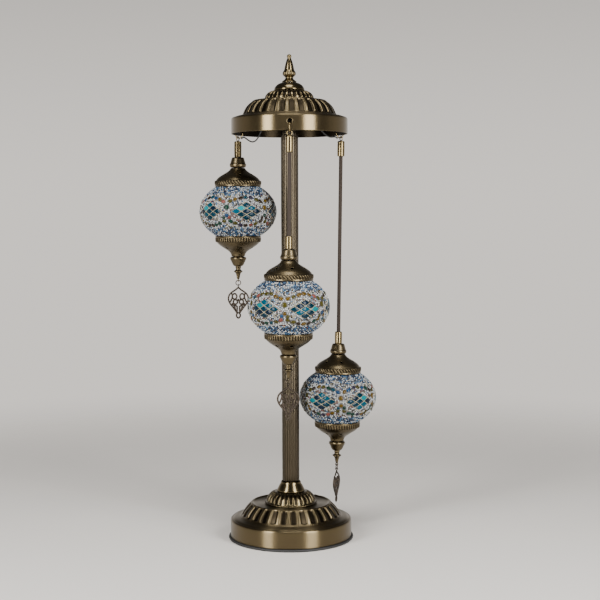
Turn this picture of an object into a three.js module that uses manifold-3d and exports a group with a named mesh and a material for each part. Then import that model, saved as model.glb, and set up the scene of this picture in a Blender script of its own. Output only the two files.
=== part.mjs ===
// A table lamp with three hanging mosaic glass globes, in millimetres, +Z up.
// The origin is the middle of the felt pad's underside, where the lamp stands.

import * as THREE from 'three';
import { mergeVertices } from 'three/addons/utils/BufferGeometryUtils.js';
import Module from 'manifold-3d';

const wasm = await Module();
wasm.setup();

// Driving dimensions
const GAP = 0.3;                 // clearance between touching pieces
const BASE_R = 93;               // pressed base band
const EDGE_RING_R = 96;          // rubber ring under the band
const PLATE_R = 85.6;            // felt, cover plate and weight fit inside this
const CANOPY_R = 88.2;           // pressed canopy band
const CANOPY_BOTTOM = 618.5;
const CANOPY_TOP = 642;
const SHEET = 1.0;               // wall of the pressed shells
const ROD_R = 5;                 // threaded stem rod
const ROD_HOLE_R = ROD_R + GAP;
const POLE_R = 13.2;
const POLE_FLUTES = 20;
const HOOK_HOLE_R = 4;           // holes in the canopy band
const HOOK_HOLE_Z = 632;
const HANG_R = 90.5;             // radius at which the pendants hang
const HANG_Z = 615.1;            // lowest point of a hook link's wire centre
const GLOBE_R = 59.5;
const GLOBE_RISE = 45.8;         // half height of the full ellipsoid
const GLOBE_WALL = 3;
const FERRULE_R = 5.7;
const CORD_R = 3;
const FEED_R = 1.1;
const NIPPLE_R = 4;
const CHARM_WIDTH = 31.5;
const CHARM_THICK = 1.6;
const EYE_HOLE_R = 1.45;         // cross hole that a split ring passes through
const RING_Z = -111;             // split ring's centre, from the globe's centre
const RING_MID_R = 3.8;
const RING_WIRE_R = 0.7;

// Each pendant: where its hook is round the canopy, the height of its globe's centre,
// its small lean from the plumb line, and the turn of its charm about the vertical.
const PENDANTS = [
  { side: 'left', azimuth: 152.1, globeZ: 502, lean: 0.2, charmTurn: 0, corded: false },
  { side: 'front', azimuth: -90, globeZ: 363, lean: 0.5, charmTurn: 0, corded: true },
  { side: 'right', azimuth: 27.9, globeZ: 211.5, lean: 0.85, charmTurn: 70, corded: true },
];

const antiqueBrass = { color: 0x6b5a3a, roughness: 0.35, metalness: 1 };
const MATERIALS = {
  brass: new THREE.MeshStandardMaterial(antiqueBrass),
  steel: new THREE.MeshStandardMaterial({ color: 0x9a9a98, roughness: 0.4, metalness: 1 }),
  iron: new THREE.MeshStandardMaterial({ color: 0x3c3c3e, roughness: 0.8, metalness: 0.6 }),
  rubber: new THREE.MeshStandardMaterial({ color: 0x141414, roughness: 0.7, metalness: 0 }),
  felt: new THREE.MeshStandardMaterial({ color: 0x1c1c1c, roughness: 0.95, metalness: 0 }),
  glass: new THREE.MeshStandardMaterial({ color: 0xb9c6d2, roughness: 0.2, metalness: 0 }),
  bulb: new THREE.MeshStandardMaterial({ color: 0xf2efe6, roughness: 0.3, metalness: 0 }),
  plastic: new THREE.MeshStandardMaterial({ color: 0x1a1a1a, roughness: 0.4, metalness: 0 }),
  textile: new THREE.MeshStandardMaterial({ color: 0x2a231d, roughness: 0.9, metalness: 0 }),
  charm: new THREE.MeshStandardMaterial({ color: 0x4a3f33, roughness: 0.5, metalness: 1 }),
};

const root = new THREE.Group();

// ---- geometry helpers ----

// Welds a geometry, drops triangles with no area and turns its faces outwards.
function weld(geometry) {
  const bare = geometry.clone();
  bare.deleteAttribute('normal');
  bare.deleteAttribute('uv');
  const merged = mergeVertices(bare, 1e-4);
  const p = merged.attributes.position;
  const kept = [];
  let volume = 0;
  for (let i = 0; i < merged.index.count; i += 3) {
    const [a, b, c] = [0, 1, 2].map((k) => merged.index.getX(i + k));
    if (a === b || b === c || c === a) continue;
    const [va, vb, vc] = [a, b, c].map((k) => new THREE.Vector3().fromBufferAttribute(p, k));
    volume += va.dot(vb.cross(vc));
    kept.push(a, b, c);
  }
  if (volume < 0) kept.reverse();
  merged.setIndex(kept);
  merged.computeVertexNormals();
  return merged;
}

// A turned shape from [radius, height] points. A profile off the axis closes on itself.
function turned(points, segments) {
  const profile = points.map(([r, z]) => new THREE.Vector2(r, z));
  const onAxis = points[0][0] === 0 && points.at(-1)[0] === 0;
  if (!onAxis) profile.push(profile[0].clone());
  const geometry = new THREE.LatheGeometry(profile, segments);
  geometry.rotateX(Math.PI / 2);
  return weld(geometry);
}

// A ring of round wire in the XZ plane: half width a, half height c, wire radius w.
function wireRing(a, c, w, steps, sides) {
  const curve = new THREE.EllipseCurve(0, 0, a, c, 0, 2 * Math.PI);
  const geometry = new THREE.TorusGeometry(1, w, sides, steps);
  const p = geometry.attributes.position;
  for (let i = 0; i <= sides; i += 1) {
    const tube = (i / sides) * 2 * Math.PI;
    for (let k = 0; k <= steps; k += 1) {
      const point = curve.getPoint(k / steps);
      const normal = new THREE.Vector2(point.x / (a * a), point.y / (c * c)).normalize();
      const out = w * Math.cos(tube);
      p.setXYZ(i * (steps + 1) + k, point.x + normal.x * out, w * Math.sin(tube), point.y + normal.y * out);
    }
  }
  return weld(geometry);
}

// A tube of round section along a list of points.
function tubeAlong(points, radius, sides, steps) {
  const path = new THREE.CatmullRomCurve3(points.map((p) => new THREE.Vector3(...p)));
  const section = new THREE.Shape();
  for (let i = 0; i < sides; i += 1) {
    const a = (i / sides) * 2 * Math.PI;
    const place = [radius * Math.cos(a), radius * Math.sin(a)];
    if (i === 0) section.moveTo(...place);
    else section.lineTo(...place);
  }
  section.closePath();
  return weld(new THREE.ExtrudeGeometry(section, { steps, extrudePath: path, curveSegments: 1 }));
}

function cylinderAlong(axis, radius, length, sides, centre) {
  const geometry = new THREE.CylinderGeometry(radius, radius, length, sides);
  if (axis === 'x') geometry.rotateZ(Math.PI / 2);
  if (axis === 'z') geometry.rotateX(Math.PI / 2);
  geometry.translate(...centre);
  return weld(geometry);
}

function toSolid(geometry) {
  const vertProperties = new Float32Array(geometry.attributes.position.array);
  const triVerts = new Uint32Array(geometry.index.array);
  return new wasm.Manifold(new wasm.Mesh({ numProp: 3, vertProperties, triVerts }));
}

function toGeometry(solid) {
  const mesh = solid.getMesh();
  const geometry = new THREE.BufferGeometry();
  geometry.setAttribute('position', new THREE.BufferAttribute(mesh.vertProperties, 3));
  geometry.setIndex(new THREE.BufferAttribute(mesh.triVerts, 1));
  return weld(geometry);
}

const joined = (first, ...others) =>
  toGeometry(others.reduce((solid, other) => solid.add(toSolid(other)), toSolid(first)));
const cut = (first, ...others) =>
  toGeometry(others.reduce((solid, other) => solid.subtract(toSolid(other)), toSolid(first)));

function addMesh(parent, name, geometry, material) {
  const mesh = new THREE.Mesh(geometry, material);
  mesh.name = name;
  parent.add(mesh);
  return mesh;
}

// ---- stand: base, pole, canopy ----

function addBase() {
  addMesh(root, 'felt_pad', turned([[0, 0], [PLATE_R, 0], [PLATE_R, 1], [0, 1]], 32), MATERIALS.felt);
  const ring = [[PLATE_R + GAP, 0], [EDGE_RING_R - 1, 0], [EDGE_RING_R, 1.2], [EDGE_RING_R - 0.6, 4],
    [PLATE_R + GAP, 4]];
  addMesh(root, 'edge_ring', turned(ring, 32), MATERIALS.rubber);
  const plate = [[0, 1.3], [PLATE_R, 1.3], [PLATE_R, 2.8], [0, 2.8]];
  addMesh(root, 'base_plate', turned(plate, 32), MATERIALS.steel);
  const nutPocketR = 12;
  const weight = [[nutPocketR, 3.1], [83, 3.1], [83, 18], [80, 20], [ROD_HOLE_R, 20], [ROD_HOLE_R, 13],
    [nutPocketR, 13]];
  addMesh(root, 'base_weight', turned(weight, 24), MATERIALS.iron);
  const nutCentre = [0, 0, 9.7];
  const nut = cut(cylinderAlong('z', 9, 6, 6, nutCentre), cylinderAlong('z', ROD_HOLE_R, 8, 12, nutCentre));
  addMesh(root, 'rod_nut', nut, MATERIALS.steel);
  const grommetZ = 14;
  const grommetHoleR = 4.4;
  const shellProfile = [
    [BASE_R, 4.3], [BASE_R, 28.6], [91, 30.4], [90.6, 32.4], [76, 34.2], [71, 43], [62.4, 53.6],
    [60, 55.2], [56, 53.6], [ROD_HOLE_R, 53.6], [ROD_HOLE_R, 53.6 - SHEET], [60.6, 52.6],
    [70, 42.2], [75.2, 33], [88.4, 31.4], [BASE_R - SHEET, 28], [BASE_R - SHEET, 4.3],
  ];
  const grommetHole = cylinderAlong('y', grommetHoleR, 12, 12, [0, BASE_R, grommetZ]);
  addMesh(root, 'base_shell', cut(turned(shellProfile, 32), grommetHole), MATERIALS.brass);
  const grommetBoreR = 2.8;
  const grommet = turned([
    [grommetBoreR, -3.2], [6, -3.2], [6, -1.8], [4, -1.8], [4, 0.6], [6, 0.6], [6, 2], [grommetBoreR, 2.4],
  ], 12);
  grommet.rotateX(-Math.PI / 2);
  grommet.translate(0, BASE_R, grommetZ);
  addMesh(root, 'inlet_grommet', grommet, MATERIALS.rubber);
}

// A fluted ring is a low dome: two curved walls and a flat top plate with the rod's hole.
function rosetteProfile(footR, footZ, topR, topZ) {
  const points = [];
  const steps = 3;
  points.push([footR, footZ]);
  for (let i = 0; i <= steps; i += 1) {
    const a = (i / steps) * (Math.PI / 2);
    points.push([
      topR + (footR - 0.8 - topR) * Math.cos(a),
      footZ + 1.6 + (topZ - footZ - 1.6) * Math.sin(a),
    ]);
  }
  points.push([ROD_HOLE_R, topZ]);
  points.push([ROD_HOLE_R, topZ - SHEET]);
  for (let i = steps; i >= 0; i -= 1) {
    const a = (i / steps) * (Math.PI / 2);
    points.push([
      topR - SHEET + (footR - 1.6 - topR) * Math.cos(a),
      footZ + (topZ - SHEET - footZ) * Math.sin(a),
    ]);
  }
  return points;
}

function addPole() {
  addMesh(root, 'base_rosette', turned(rosetteProfile(40, 53.9, 22, 72), 20), MATERIALS.brass);
  const collarTop = 87.5;
  const collar = [[POLE_R + 0.4, 72.3], [21.6, 72.3], [21, 74.5], [17.6, 81.5], [15.2, 85.4],
    [14.4, collarTop], [POLE_R + 0.4, collarTop]];
  addMesh(root, 'base_collar', turned(collar, 20), MATERIALS.brass);
  const poleBottom = 72.3;
  const poleTop = 665.7;
  const outline = new THREE.Shape();
  for (let i = 0; i < 2 * POLE_FLUTES; i += 1) {
    const a = (i / POLE_FLUTES) * Math.PI;
    const r = i % 2 === 0 ? POLE_R : POLE_R - 0.5;
    if (i === 0) outline.moveTo(r, 0);
    else outline.lineTo(r * Math.cos(a), r * Math.sin(a));
  }
  outline.closePath();
  const bore = new THREE.Path();
  bore.absarc(0, 0, POLE_R - 1.7, 0, 2 * Math.PI, true);
  outline.holes.push(bore);
  const tube = new THREE.ExtrudeGeometry(outline, {
    depth: poleTop - poleBottom, bevelEnabled: false, curveSegments: 20,
  });
  tube.translate(0, 0, poleBottom);
  addMesh(root, 'pole', weld(tube), MATERIALS.brass);
  addMesh(root, 'stem_rod', turned([[3.4, 4], [ROD_R, 4], [ROD_R, 697], [3.4, 697]], 12), MATERIALS.steel);
}

function addCanopy() {
  const shellProfile = [
    [CANOPY_R, CANOPY_BOTTOM], [CANOPY_R, CANOPY_TOP - 1], [85.4, 643.8], [81.5, 645.2], [71, 646.6],
    [66, 659], [60, 665], [52, 668.4], [40, 667], [ROD_HOLE_R, 667], [ROD_HOLE_R, 667 - SHEET],
    [51.4, 666.6], [59.2, 664], [65, 658.4], [70, 645.6], [84.4, 643], [CANOPY_R - SHEET, 640.6],
    [CANOPY_R - SHEET, CANOPY_BOTTOM],
  ];
  const holes = PENDANTS.map(({ azimuth }) => {
    const hole = cylinderAlong('x', HOOK_HOLE_R, 12, 12, [CANOPY_R, 0, HOOK_HOLE_Z]);
    hole.rotateZ(THREE.MathUtils.degToRad(azimuth));
    return hole;
  });
  addMesh(root, 'canopy_shell', cut(turned(shellProfile, 32), ...holes), MATERIALS.brass);
  addMesh(root, 'canopy_rosette', turned(rosetteProfile(40, 667.3, 23, 683.4), 20), MATERIALS.brass);
  const dome = [[ROD_HOLE_R, 683.7], [23.4, 683.7], [22.2, 687], [20, 690], [17, 693], [12.4, 695.6],
    [ROD_HOLE_R, 695.6]];
  addMesh(root, 'canopy_dome', turned(dome, 20), MATERIALS.brass);
  const finial = [
    [0, 698], [ROD_HOLE_R, 698], [ROD_HOLE_R, 695.9], [11.6, 695.9], [8.6, 699], [5.9, 702.4],
    [10.2, 708.4], [10.2, 710.6], [8.2, 714.6], [5.4, 725], [2.8, 732], [3.7, 734.8], [2.6, 737.2],
    [0, 738.2],
  ];
  addMesh(root, 'finial', turned(finial, 14), MATERIALS.brass);
  const block = weld(new THREE.BoxGeometry(28, 14, 11));
  block.translate(0, 27, 660.2);
  addMesh(root, 'terminal_block', block, MATERIALS.plastic);
}

// ---- one pendant, drawn about its hanging point: X is outwards from the pole ----

// Places a piece's points from the globe's centre, which is `drop` below the hanging point.
function addHanging(group, name, geometry, drop, material) {
  const mesh = addMesh(group, name, geometry, material);
  mesh.position.z = -drop;
}

// The lit end: holder and bulb hang inside the globe from a threaded nipple.
function addLight(group, side, drop) {
  const holder = [
    [0, 52], [7.8, 52], [7.8, 29], [13.2, 29], [13.2, 54], [10, 57], [NIPPLE_R, 57.5],
    [NIPPLE_R, 90.6], [0, 90.6],
  ];
  addHanging(group, `lamp_holder_${side}`, turned(holder, 12), drop, MATERIALS.plastic);
  const bulb = [
    [0, -29], [8, -26], [15, -16], [17.5, -4], [15.5, 9], [9.5, 21], [7, 26], [7, 49], [0, 50.5],
  ];
  addHanging(group, `bulb_${side}`, turned(bulb, 12), drop, MATERIALS.bulb);
}

// An open glass ellipsoid with a short neck at each end.
function globeProfile() {
  const neckR = 32.8;
  const neckZ = 41;
  const steps = 3;
  const reach = Math.asin(37.6 / GLOBE_RISE);
  const outer = [[neckR, -neckZ]];
  const inner = [[neckR - GLOBE_WALL, neckZ]];
  for (let i = -steps; i <= steps; i += 1) {
    const a = (i / steps) * reach;
    outer.push([GLOBE_R * Math.cos(a), GLOBE_RISE * Math.sin(a)]);
  }
  for (const turn of [1, 0.5, 0, -0.5, -1]) {
    const a = turn * reach;
    inner.push([(GLOBE_R - GLOBE_WALL) * Math.cos(a), (GLOBE_RISE - GLOBE_WALL) * Math.sin(a)]);
  }
  outer.push([neckR, neckZ]);
  inner.push([neckR - GLOBE_WALL, -neckZ]);
  return [...outer, ...inner];
}

function addShade(group, side, drop) {
  addHanging(group, `globe_${side}`, turned(globeProfile(), 16), drop, MATERIALS.glass);
  const topCap = [
    [35.4, 38], [36, 42.8], [34.6, 47.6], [32.2, 50.2], [29, 53.2], [23.2, 56.8], [17.2, 60.2],
    [13.2, 63.2], [11.4, 65.6], [10.8, 67.4], [NIPPLE_R + GAP, 67.4], [NIPPLE_R + GAP, 66], [9.8, 65],
    [12.2, 61.8], [16.4, 59], [22.4, 55.6], [28, 52], [31, 49.2], [33.4, 46.2], [34.8, 42.6],
    [34.4, 38],
  ];
  addHanging(group, `top_cap_${side}`, turned(topCap, 16), drop, MATERIALS.brass);
  const bottomCap = [
    [35.2, -38], [35.4, -42.4], [33.8, -45.6], [28.4, -51.3], [20.6, -57.6], [14.6, -61], [11, -65.4],
    [10.4, -70.4], [NIPPLE_R + GAP, -70.4], [NIPPLE_R + GAP, -68.8], [9, -67.4], [13.6, -60.2],
    [27.2, -50.4], [32.8, -44.8], [34.3, -42], [34.3, -38],
  ];
  addHanging(group, `bottom_cap_${side}`, turned(bottomCap, 16), drop, MATERIALS.brass);
  const bell = [
    [NIPPLE_R + GAP, 67.7], [11.2, 67.7], [12.6, 70.2], [12.7, 73], [10.6, 77.6], [9.8, 81.4], [7.6, 83.6],
    [NIPPLE_R + GAP, 83.6],
  ];
  addHanging(group, `bell_cup_${side}`, turned(bell, 14), drop, MATERIALS.brass);
}

// A small eye with its cross hole along X, for the split ring to pass through.
function crossEye(z, radius) {
  return cylinderAlong('x', radius, 2, 12, [0, 0, z]);
}

function addFinial(group, side, drop) {
  const cup = [
    [NIPPLE_R + GAP, -70.7], [11.6, -70.7], [12.8, -72.6], [12.4, -75], [9.8, -80.4], [8, -83.6],
    [5.4, -85.2], [NIPPLE_R + GAP, -85.2],
  ];
  addHanging(group, `finial_cup_${side}`, turned(cup, 14), drop, MATERIALS.brass);
  const drawn = [
    [0, -64], [NIPPLE_R, -64], [NIPPLE_R, -85.5], [4.6, -86.4], [3.6, -90], [7.2, -93.4], [3.8, -96],
    [2.6, -103], [1.4, -105.4], [0, -105.6],
  ];
  const tipZ = RING_Z + RING_MID_R;
  const body = joined(turned(drawn, 12), crossEye(tipZ, 2.6));
  const finial = cut(body, cylinderAlong('x', EYE_HOLE_R, 6, 10, [0, 0, tipZ]));
  addHanging(group, `drop_finial_${side}`, finial, drop, MATERIALS.brass);
}

// The charm's outline: a teardrop that narrows to a waist, with a small diamond below it.
function charmOutline() {
  const top = -118.5;
  const half = CHARM_WIDTH / 2;
  const waist = 1.9;
  const shape = new THREE.Shape();
  shape.moveTo(1.4, top);
  shape.bezierCurveTo(4, -124, half, -122, half, -134);
  shape.bezierCurveTo(half, -143, 6, -148, waist, -158);
  shape.lineTo(3.9, -162.4);
  shape.lineTo(0, -167.6);
  shape.lineTo(-3.9, -162.4);
  shape.lineTo(-waist, -158);
  shape.bezierCurveTo(-6, -148, -half, -143, -half, -134);
  shape.bezierCurveTo(-half, -122, -4, -124, -1.4, top);
  shape.closePath();
  return shape;
}

function ovalHole(x, z, halfWidth, halfHeight, turn) {
  const hole = new THREE.Path();
  hole.absellipse(x, z, halfWidth, halfHeight, 0, 2 * Math.PI, false, turn);
  return hole;
}

function charmGeometry() {
  const shape = charmOutline();
  for (const side of [-1, 1]) {
    shape.holes.push(ovalHole(side * 6.8, -130.6, 2.8, 4.2, side * 0.2));
    shape.holes.push(ovalHole(side * 11.8, -132.4, 1.3, 3.6, side * 0.1));
    shape.holes.push(ovalHole(side * 6, -139.8, 2.4, 2.8, side * 0.3));
    shape.holes.push(ovalHole(side * 4.4, -147, 1.3, 3.2, side * 0.45));
  }
  shape.holes.push(ovalHole(0, -125.4, 3, 1.5, 0));
  shape.holes.push(ovalHole(0, -150, 1.1, 3.6, 0));
  shape.holes.push(ovalHole(0, -162.6, 1.3, 1.8, 0));
  const plate = new THREE.ExtrudeGeometry(shape, {
    depth: CHARM_THICK, bevelEnabled: false, curveSegments: 3,
  });
  plate.translate(0, 0, -CHARM_THICK / 2);
  plate.rotateX(Math.PI / 2);
  const eyeZ = RING_Z - RING_MID_R;
  const neck = cylinderAlong('z', 1.1, 4, 8, [0, 0, eyeZ - 3.4]);
  const solid = joined(weld(plate), neck, crossEye(eyeZ, 2.5));
  return cut(solid, cylinderAlong('x', EYE_HOLE_R, 6, 10, [0, 0, eyeZ]));
}

function addCharm(group, side, drop) {
  const ring = wireRing(RING_MID_R, RING_MID_R, RING_WIRE_R, 16, 6);
  ring.translate(0, 0, RING_Z);
  addHanging(group, `charm_ring_${side}`, ring, drop, MATERIALS.charm);
  addHanging(group, `charm_${side}`, charmGeometry(), drop, MATERIALS.charm);
}

// The ferrule's top: a round shell with a wire eye across the pendant's swing.
function eyeFerrule(bottomZ, bottomBoreR) {
  const topZ = -4.6;
  const body = turned([
    [0, topZ], [4.6, topZ], [FERRULE_R, topZ - 2], [FERRULE_R, bottomZ + 1], [FERRULE_R - 0.6, bottomZ],
    [bottomBoreR, bottomZ], [bottomBoreR, bottomZ + 7.5], [0, bottomZ + 7.5],
  ], 14);
  const eyeMidR = 3.7;
  const eye = wireRing(eyeMidR, eyeMidR, 0.8, 14, 6);
  eye.rotateZ(Math.PI / 2);
  eye.translate(0, 0, 2.7 - eyeMidR);
  return joined(body, eye);
}

function addSuspension(group, side, drop, corded) {
  const nippleBoreR = NIPPLE_R + GAP;
  const bellTop = 83.9 - drop;
  if (!corded) {
    addMesh(group, `eye_ferrule_${side}`, eyeFerrule(bellTop, nippleBoreR), MATERIALS.brass);
    return;
  }
  const ferruleBottom = -28.5;
  const cordBoreR = CORD_R + GAP;
  const sleeveTop = bellTop + 18.5;
  addMesh(group, `eye_ferrule_${side}`, eyeFerrule(ferruleBottom, cordBoreR), MATERIALS.brass);
  const sleeve = [
    [nippleBoreR, bellTop], [FERRULE_R, bellTop], [FERRULE_R, sleeveTop - 1], [5.1, sleeveTop],
    [cordBoreR, sleeveTop], [cordBoreR, sleeveTop - 6], [0, sleeveTop - 6], [0, bellTop + 8.7],
    [nippleBoreR, bellTop + 8.7],
  ];
  addMesh(group, `lower_ferrule_${side}`, turned(sleeve, 14), MATERIALS.brass);
  const cordTop = ferruleBottom + 7;
  const cordBottom = sleeveTop - 5.5;
  const cord = tubeAlong([[0, 0, cordTop], [0, 0, cordBottom]], CORD_R, 12, 1);
  addMesh(group, `cord_${side}`, cord, MATERIALS.textile);
}

// The hook link is an oval of wire round the strip of band below the hook hole.
function addLink(side, azimuth) {
  const turn = new THREE.Group();
  turn.rotation.z = THREE.MathUtils.degToRad(azimuth);
  root.add(turn);
  const halfHeight = 7.2;
  const link = wireRing(6.4, halfHeight, 1, 16, 6);
  link.translate(HANG_R - 1.9, 0, HANG_Z + halfHeight);
  addMesh(turn, `hook_link_${side}`, link, MATERIALS.brass);
}

function addPendant({ side, azimuth, globeZ, lean, charmTurn, corded }) {
  addLink(side, azimuth);
  const a = THREE.MathUtils.degToRad(azimuth);
  const hang = new THREE.Group();
  hang.position.set(HANG_R * Math.cos(a), HANG_R * Math.sin(a), HANG_Z);
  hang.rotation.y = THREE.MathUtils.degToRad(lean);
  root.add(hang);
  const group = new THREE.Group();
  group.rotation.z = a;
  hang.add(group);
  const drop = HANG_Z - globeZ;
  addSuspension(group, side, drop, corded);
  addShade(group, side, drop);
  addLight(group, side, drop);
  const tail = new THREE.Group();
  tail.rotation.z = THREE.MathUtils.degToRad(charmTurn) - a;
  group.add(tail);
  addFinial(tail, side, drop);
  addCharm(tail, side, drop);
}

// Feed wires leave the ferrules beside the eyes and rise to the terminal block, with some slack.
const FEED_WIRES = {
  left: [
    [-74.3, 42.4, 613.9], [-73.6, 41.8, 615.2], [-71.8, 40.8, 616.4], [-69.6, 39.4, 616.2],
    [-66.2, 37.4, 613.6], [-61.8, 34.8, 610.2], [-57, 32, 608.4], [-52.4, 29.4, 609.8],
    [-48.4, 27.2, 614.4], [-45, 25.6, 621], [-41.4, 24.6, 630], [-37.4, 24.4, 639.4],
    [-32.4, 24.8, 647.6], [-26.6, 25.6, 654.6], [-20.4, 26.6, 659], [-14.4, 27, 660.2],
  ],
  front: [
    [2.6, -85.4, 613.9], [3, -84, 615.2], [3.6, -81.4, 616.2], [4.2, -77.4, 615.4],
    [4.6, -72, 613.4], [4.6, -66, 613.2], [4.2, -60, 616.6], [3.2, -54, 623.4],
    [0.8, -46.6, 633], [-4, -38, 642.4], [-10.4, -28.4, 650.4], [-16.4, -17.6, 655.6],
    [-20, -5.6, 658.4], [-20.4, 4, 659.8], [-16, 12.4, 660.4], [-10.4, 18.4, 660.6],
  ],
  right: [
    [74.3, 42.4, 613.9], [73.4, 42.2, 615.3], [71.4, 41.6, 616.6], [68.6, 40.4, 616.6],
    [65, 38.6, 616], [61, 36.6, 616.4], [56.6, 34.4, 618.6], [52, 32.2, 622.6],
    [47.4, 30.2, 628.2], [42.6, 28.6, 635], [37.6, 27.6, 642.2], [32.2, 27.2, 649],
    [26.4, 27, 655], [20.2, 27, 659], [14.4, 27, 660.2],
  ],
};

function addFeedWires() {
  for (const [side, points] of Object.entries(FEED_WIRES)) {
    addMesh(root, `feed_wire_${side}`, tubeAlong(points, FEED_R, 8, 20), MATERIALS.rubber);
  }
}

addBase();
addPole();
addCanopy();
PENDANTS.forEach(addPendant);
addFeedWires();

export default root;
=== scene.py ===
import bpy
import numpy as np
from mathutils import Matrix


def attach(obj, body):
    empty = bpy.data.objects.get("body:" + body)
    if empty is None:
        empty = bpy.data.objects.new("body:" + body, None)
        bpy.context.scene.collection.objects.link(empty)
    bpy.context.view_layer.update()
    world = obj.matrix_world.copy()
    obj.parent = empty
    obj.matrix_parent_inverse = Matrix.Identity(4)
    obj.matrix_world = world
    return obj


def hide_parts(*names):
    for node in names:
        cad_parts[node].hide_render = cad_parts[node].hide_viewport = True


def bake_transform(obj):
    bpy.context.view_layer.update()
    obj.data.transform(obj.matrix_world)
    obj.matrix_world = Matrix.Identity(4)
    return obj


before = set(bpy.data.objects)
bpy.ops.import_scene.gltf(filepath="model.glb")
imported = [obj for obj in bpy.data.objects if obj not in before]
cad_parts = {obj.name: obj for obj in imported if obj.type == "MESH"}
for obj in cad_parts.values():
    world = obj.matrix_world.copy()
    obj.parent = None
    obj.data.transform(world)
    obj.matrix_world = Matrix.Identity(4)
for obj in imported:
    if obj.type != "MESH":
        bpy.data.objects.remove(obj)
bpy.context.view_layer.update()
print("frame loaded")

mm = 0.001
sides = ("left", "front", "right")

# where each pendant hangs, how far its globe's centre is below that in mm, and in degrees its lean, its
# charm's turn and the turn of its first diamond
hang = {
    "left": {"azimuth": 152.1, "drop": 113.1, "lean": 0.2, "charmTurn": 0, "corded": False, "motif": 15},
    "front": {"azimuth": -90, "drop": 252.1, "lean": 0.5, "charmTurn": 0, "corded": True, "motif": 24},
    "right": {"azimuth": 27.9, "drop": 403.6, "lean": 0.85, "charmTurn": 70, "corded": True, "motif": 33},
}
hangRing = {"radius": 90.5, "height": 615.1}


# metres, radians, and the lens and its sensor in mm
cameraPlace = {
    "position": (0, -1.9087, 0.4934), "yaw": 0.0079, "pitch": 0.0664, "roll": -0.0035, "lens": 75.1,
    "sensor": 36,
}


# the view's axes: turned by yaw about Z, bent down by pitch, then rolled about the way it looks
def addCamera(c):
    data = bpy.data.cameras.new("camera")
    data.lens = c["lens"]
    data.sensor_width = c["sensor"]
    cy, sy, cp, sp = np.cos(c["yaw"]), np.sin(c["yaw"]), np.cos(c["pitch"]), np.sin(c["pitch"])
    cr, sr = np.cos(c["roll"]), np.sin(c["roll"])
    right = np.array([cy, -sy, 0])
    up = np.array([sy * sp, cy * sp, cp])
    ahead = np.array([sy * cp, cy * cp, -sp])
    turn = np.eye(4)
    turn[:3, 0] = right * cr + up * sr
    turn[:3, 1] = up * cr - right * sr
    turn[:3, 2] = -ahead
    turn[:3, 3] = c["position"]
    camera = bpy.data.objects.new("camera", data)
    camera.matrix_world = Matrix(turn.tolist())
    bpy.context.collection.objects.link(camera)
    bpy.context.scene.camera = camera


addCamera(cameraPlace)
print("camera placed")


# puts points (mm) and faces (lists of index arrays) into an object, with point attributes; a piece without a
# body stays unattached
def makePiece(name, points, faceSets, finish, body, nodes=(), values=None, tints=None):
    rows = [f for f in faceSets if len(f)]
    used, packed = np.unique(np.concatenate([f.ravel() for f in rows]), return_inverse=True)
    sizes = np.concatenate([np.full(len(f), f.shape[1]) for f in rows])
    mesh = bpy.data.meshes.new(name)
    mesh.vertices.add(len(used))
    mesh.vertices.foreach_set("co", (points[used] * mm).astype(np.float32).ravel())
    mesh.loops.add(len(packed))
    mesh.loops.foreach_set("vertex_index", packed.ravel().astype(np.int32))
    mesh.polygons.add(len(sizes))
    mesh.polygons.foreach_set("loop_start", (np.cumsum(sizes) - sizes).astype(np.int32))
    mesh.update(calc_edges=True)
    mesh.polygons.foreach_set("use_smooth", np.ones(len(sizes), bool))
    if values is not None:
        hollow = mesh.attributes.new("hollow", "FLOAT", "POINT")
        hollow.data.foreach_set("value", values[used].astype(np.float32))
    if tints is not None:
        tint = mesh.attributes.new("tint", "FLOAT_COLOR", "POINT")
        tint.data.foreach_set("color", np.c_[tints[used], np.ones(len(used))].astype(np.float32).ravel())
    mesh.validate()
    piece = bpy.data.objects.new(name, mesh)
    bpy.context.collection.objects.link(piece)
    mesh.materials.append(finish)
    if body:
        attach(piece, body)
    if nodes:
        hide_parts(*nodes)
    return piece


# Chaikin's rule: each round swaps a corner for points a quarter in from it on both edges
def roundCorners(points, rounds, loop=False):
    p = np.array(points, float)
    for _ in range(rounds):
        ahead = np.roll(p, -1, axis=0) if loop else p[1:]
        here = p if loop else p[:-1]
        cut = np.stack([0.75 * here + 0.25 * ahead, 0.25 * here + 0.75 * ahead], 1).reshape(-1, p.shape[1])
        p = cut if loop else np.vstack([p[:1], cut, p[-1:]])
    return p


# points at even steps of arc length along a line
def evenSteps(points, step, loop=False):
    p = np.vstack([points, points[:1]]) if loop else points
    arc = np.concatenate([[0], np.cumsum(np.linalg.norm(np.diff(p, axis=0), axis=1))])
    count = max(int(np.ceil(arc[-1] / step)), 3)
    at = np.linspace(0, arc[-1], count + 1)
    at = at[:-1] if loop else at
    return np.stack([np.interp(at, arc, p[:, k]) for k in range(p.shape[1])], 1), at


# unit tangents by central differences along the first axis
def tangents(p, loop=False):
    t = np.roll(p, -1, 0) - np.roll(p, 1, 0) if loop else np.gradient(p, axis=0)
    return t / np.maximum(np.linalg.norm(t, axis=-1, keepdims=True), 1e-9)


# in a section of (radius, height) walked bottom, outside, top, the outward normal is (t_z, -t_r)
def sectionNormals(section, loop=False):
    t = tangents(section, loop)
    return np.stack([t[:, 1], -t[:, 0]], 1)


# the surface radius(arc), height(arc) turned about Z, pushed along its normal by relief(theta, arc)
def turnedGrid(section, normals, theta, push):
    r = section[None, :, 0] + normals[None, :, 0] * push
    z = section[None, :, 1] + normals[None, :, 1] * push
    return np.stack([r * np.cos(theta), r * np.sin(theta), np.broadcast_to(z, r.shape)], 2)


# one full turn in even steps, as a column
def angles(around):
    return (np.arange(around) * 2 * np.pi / around)[:, None]


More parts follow.
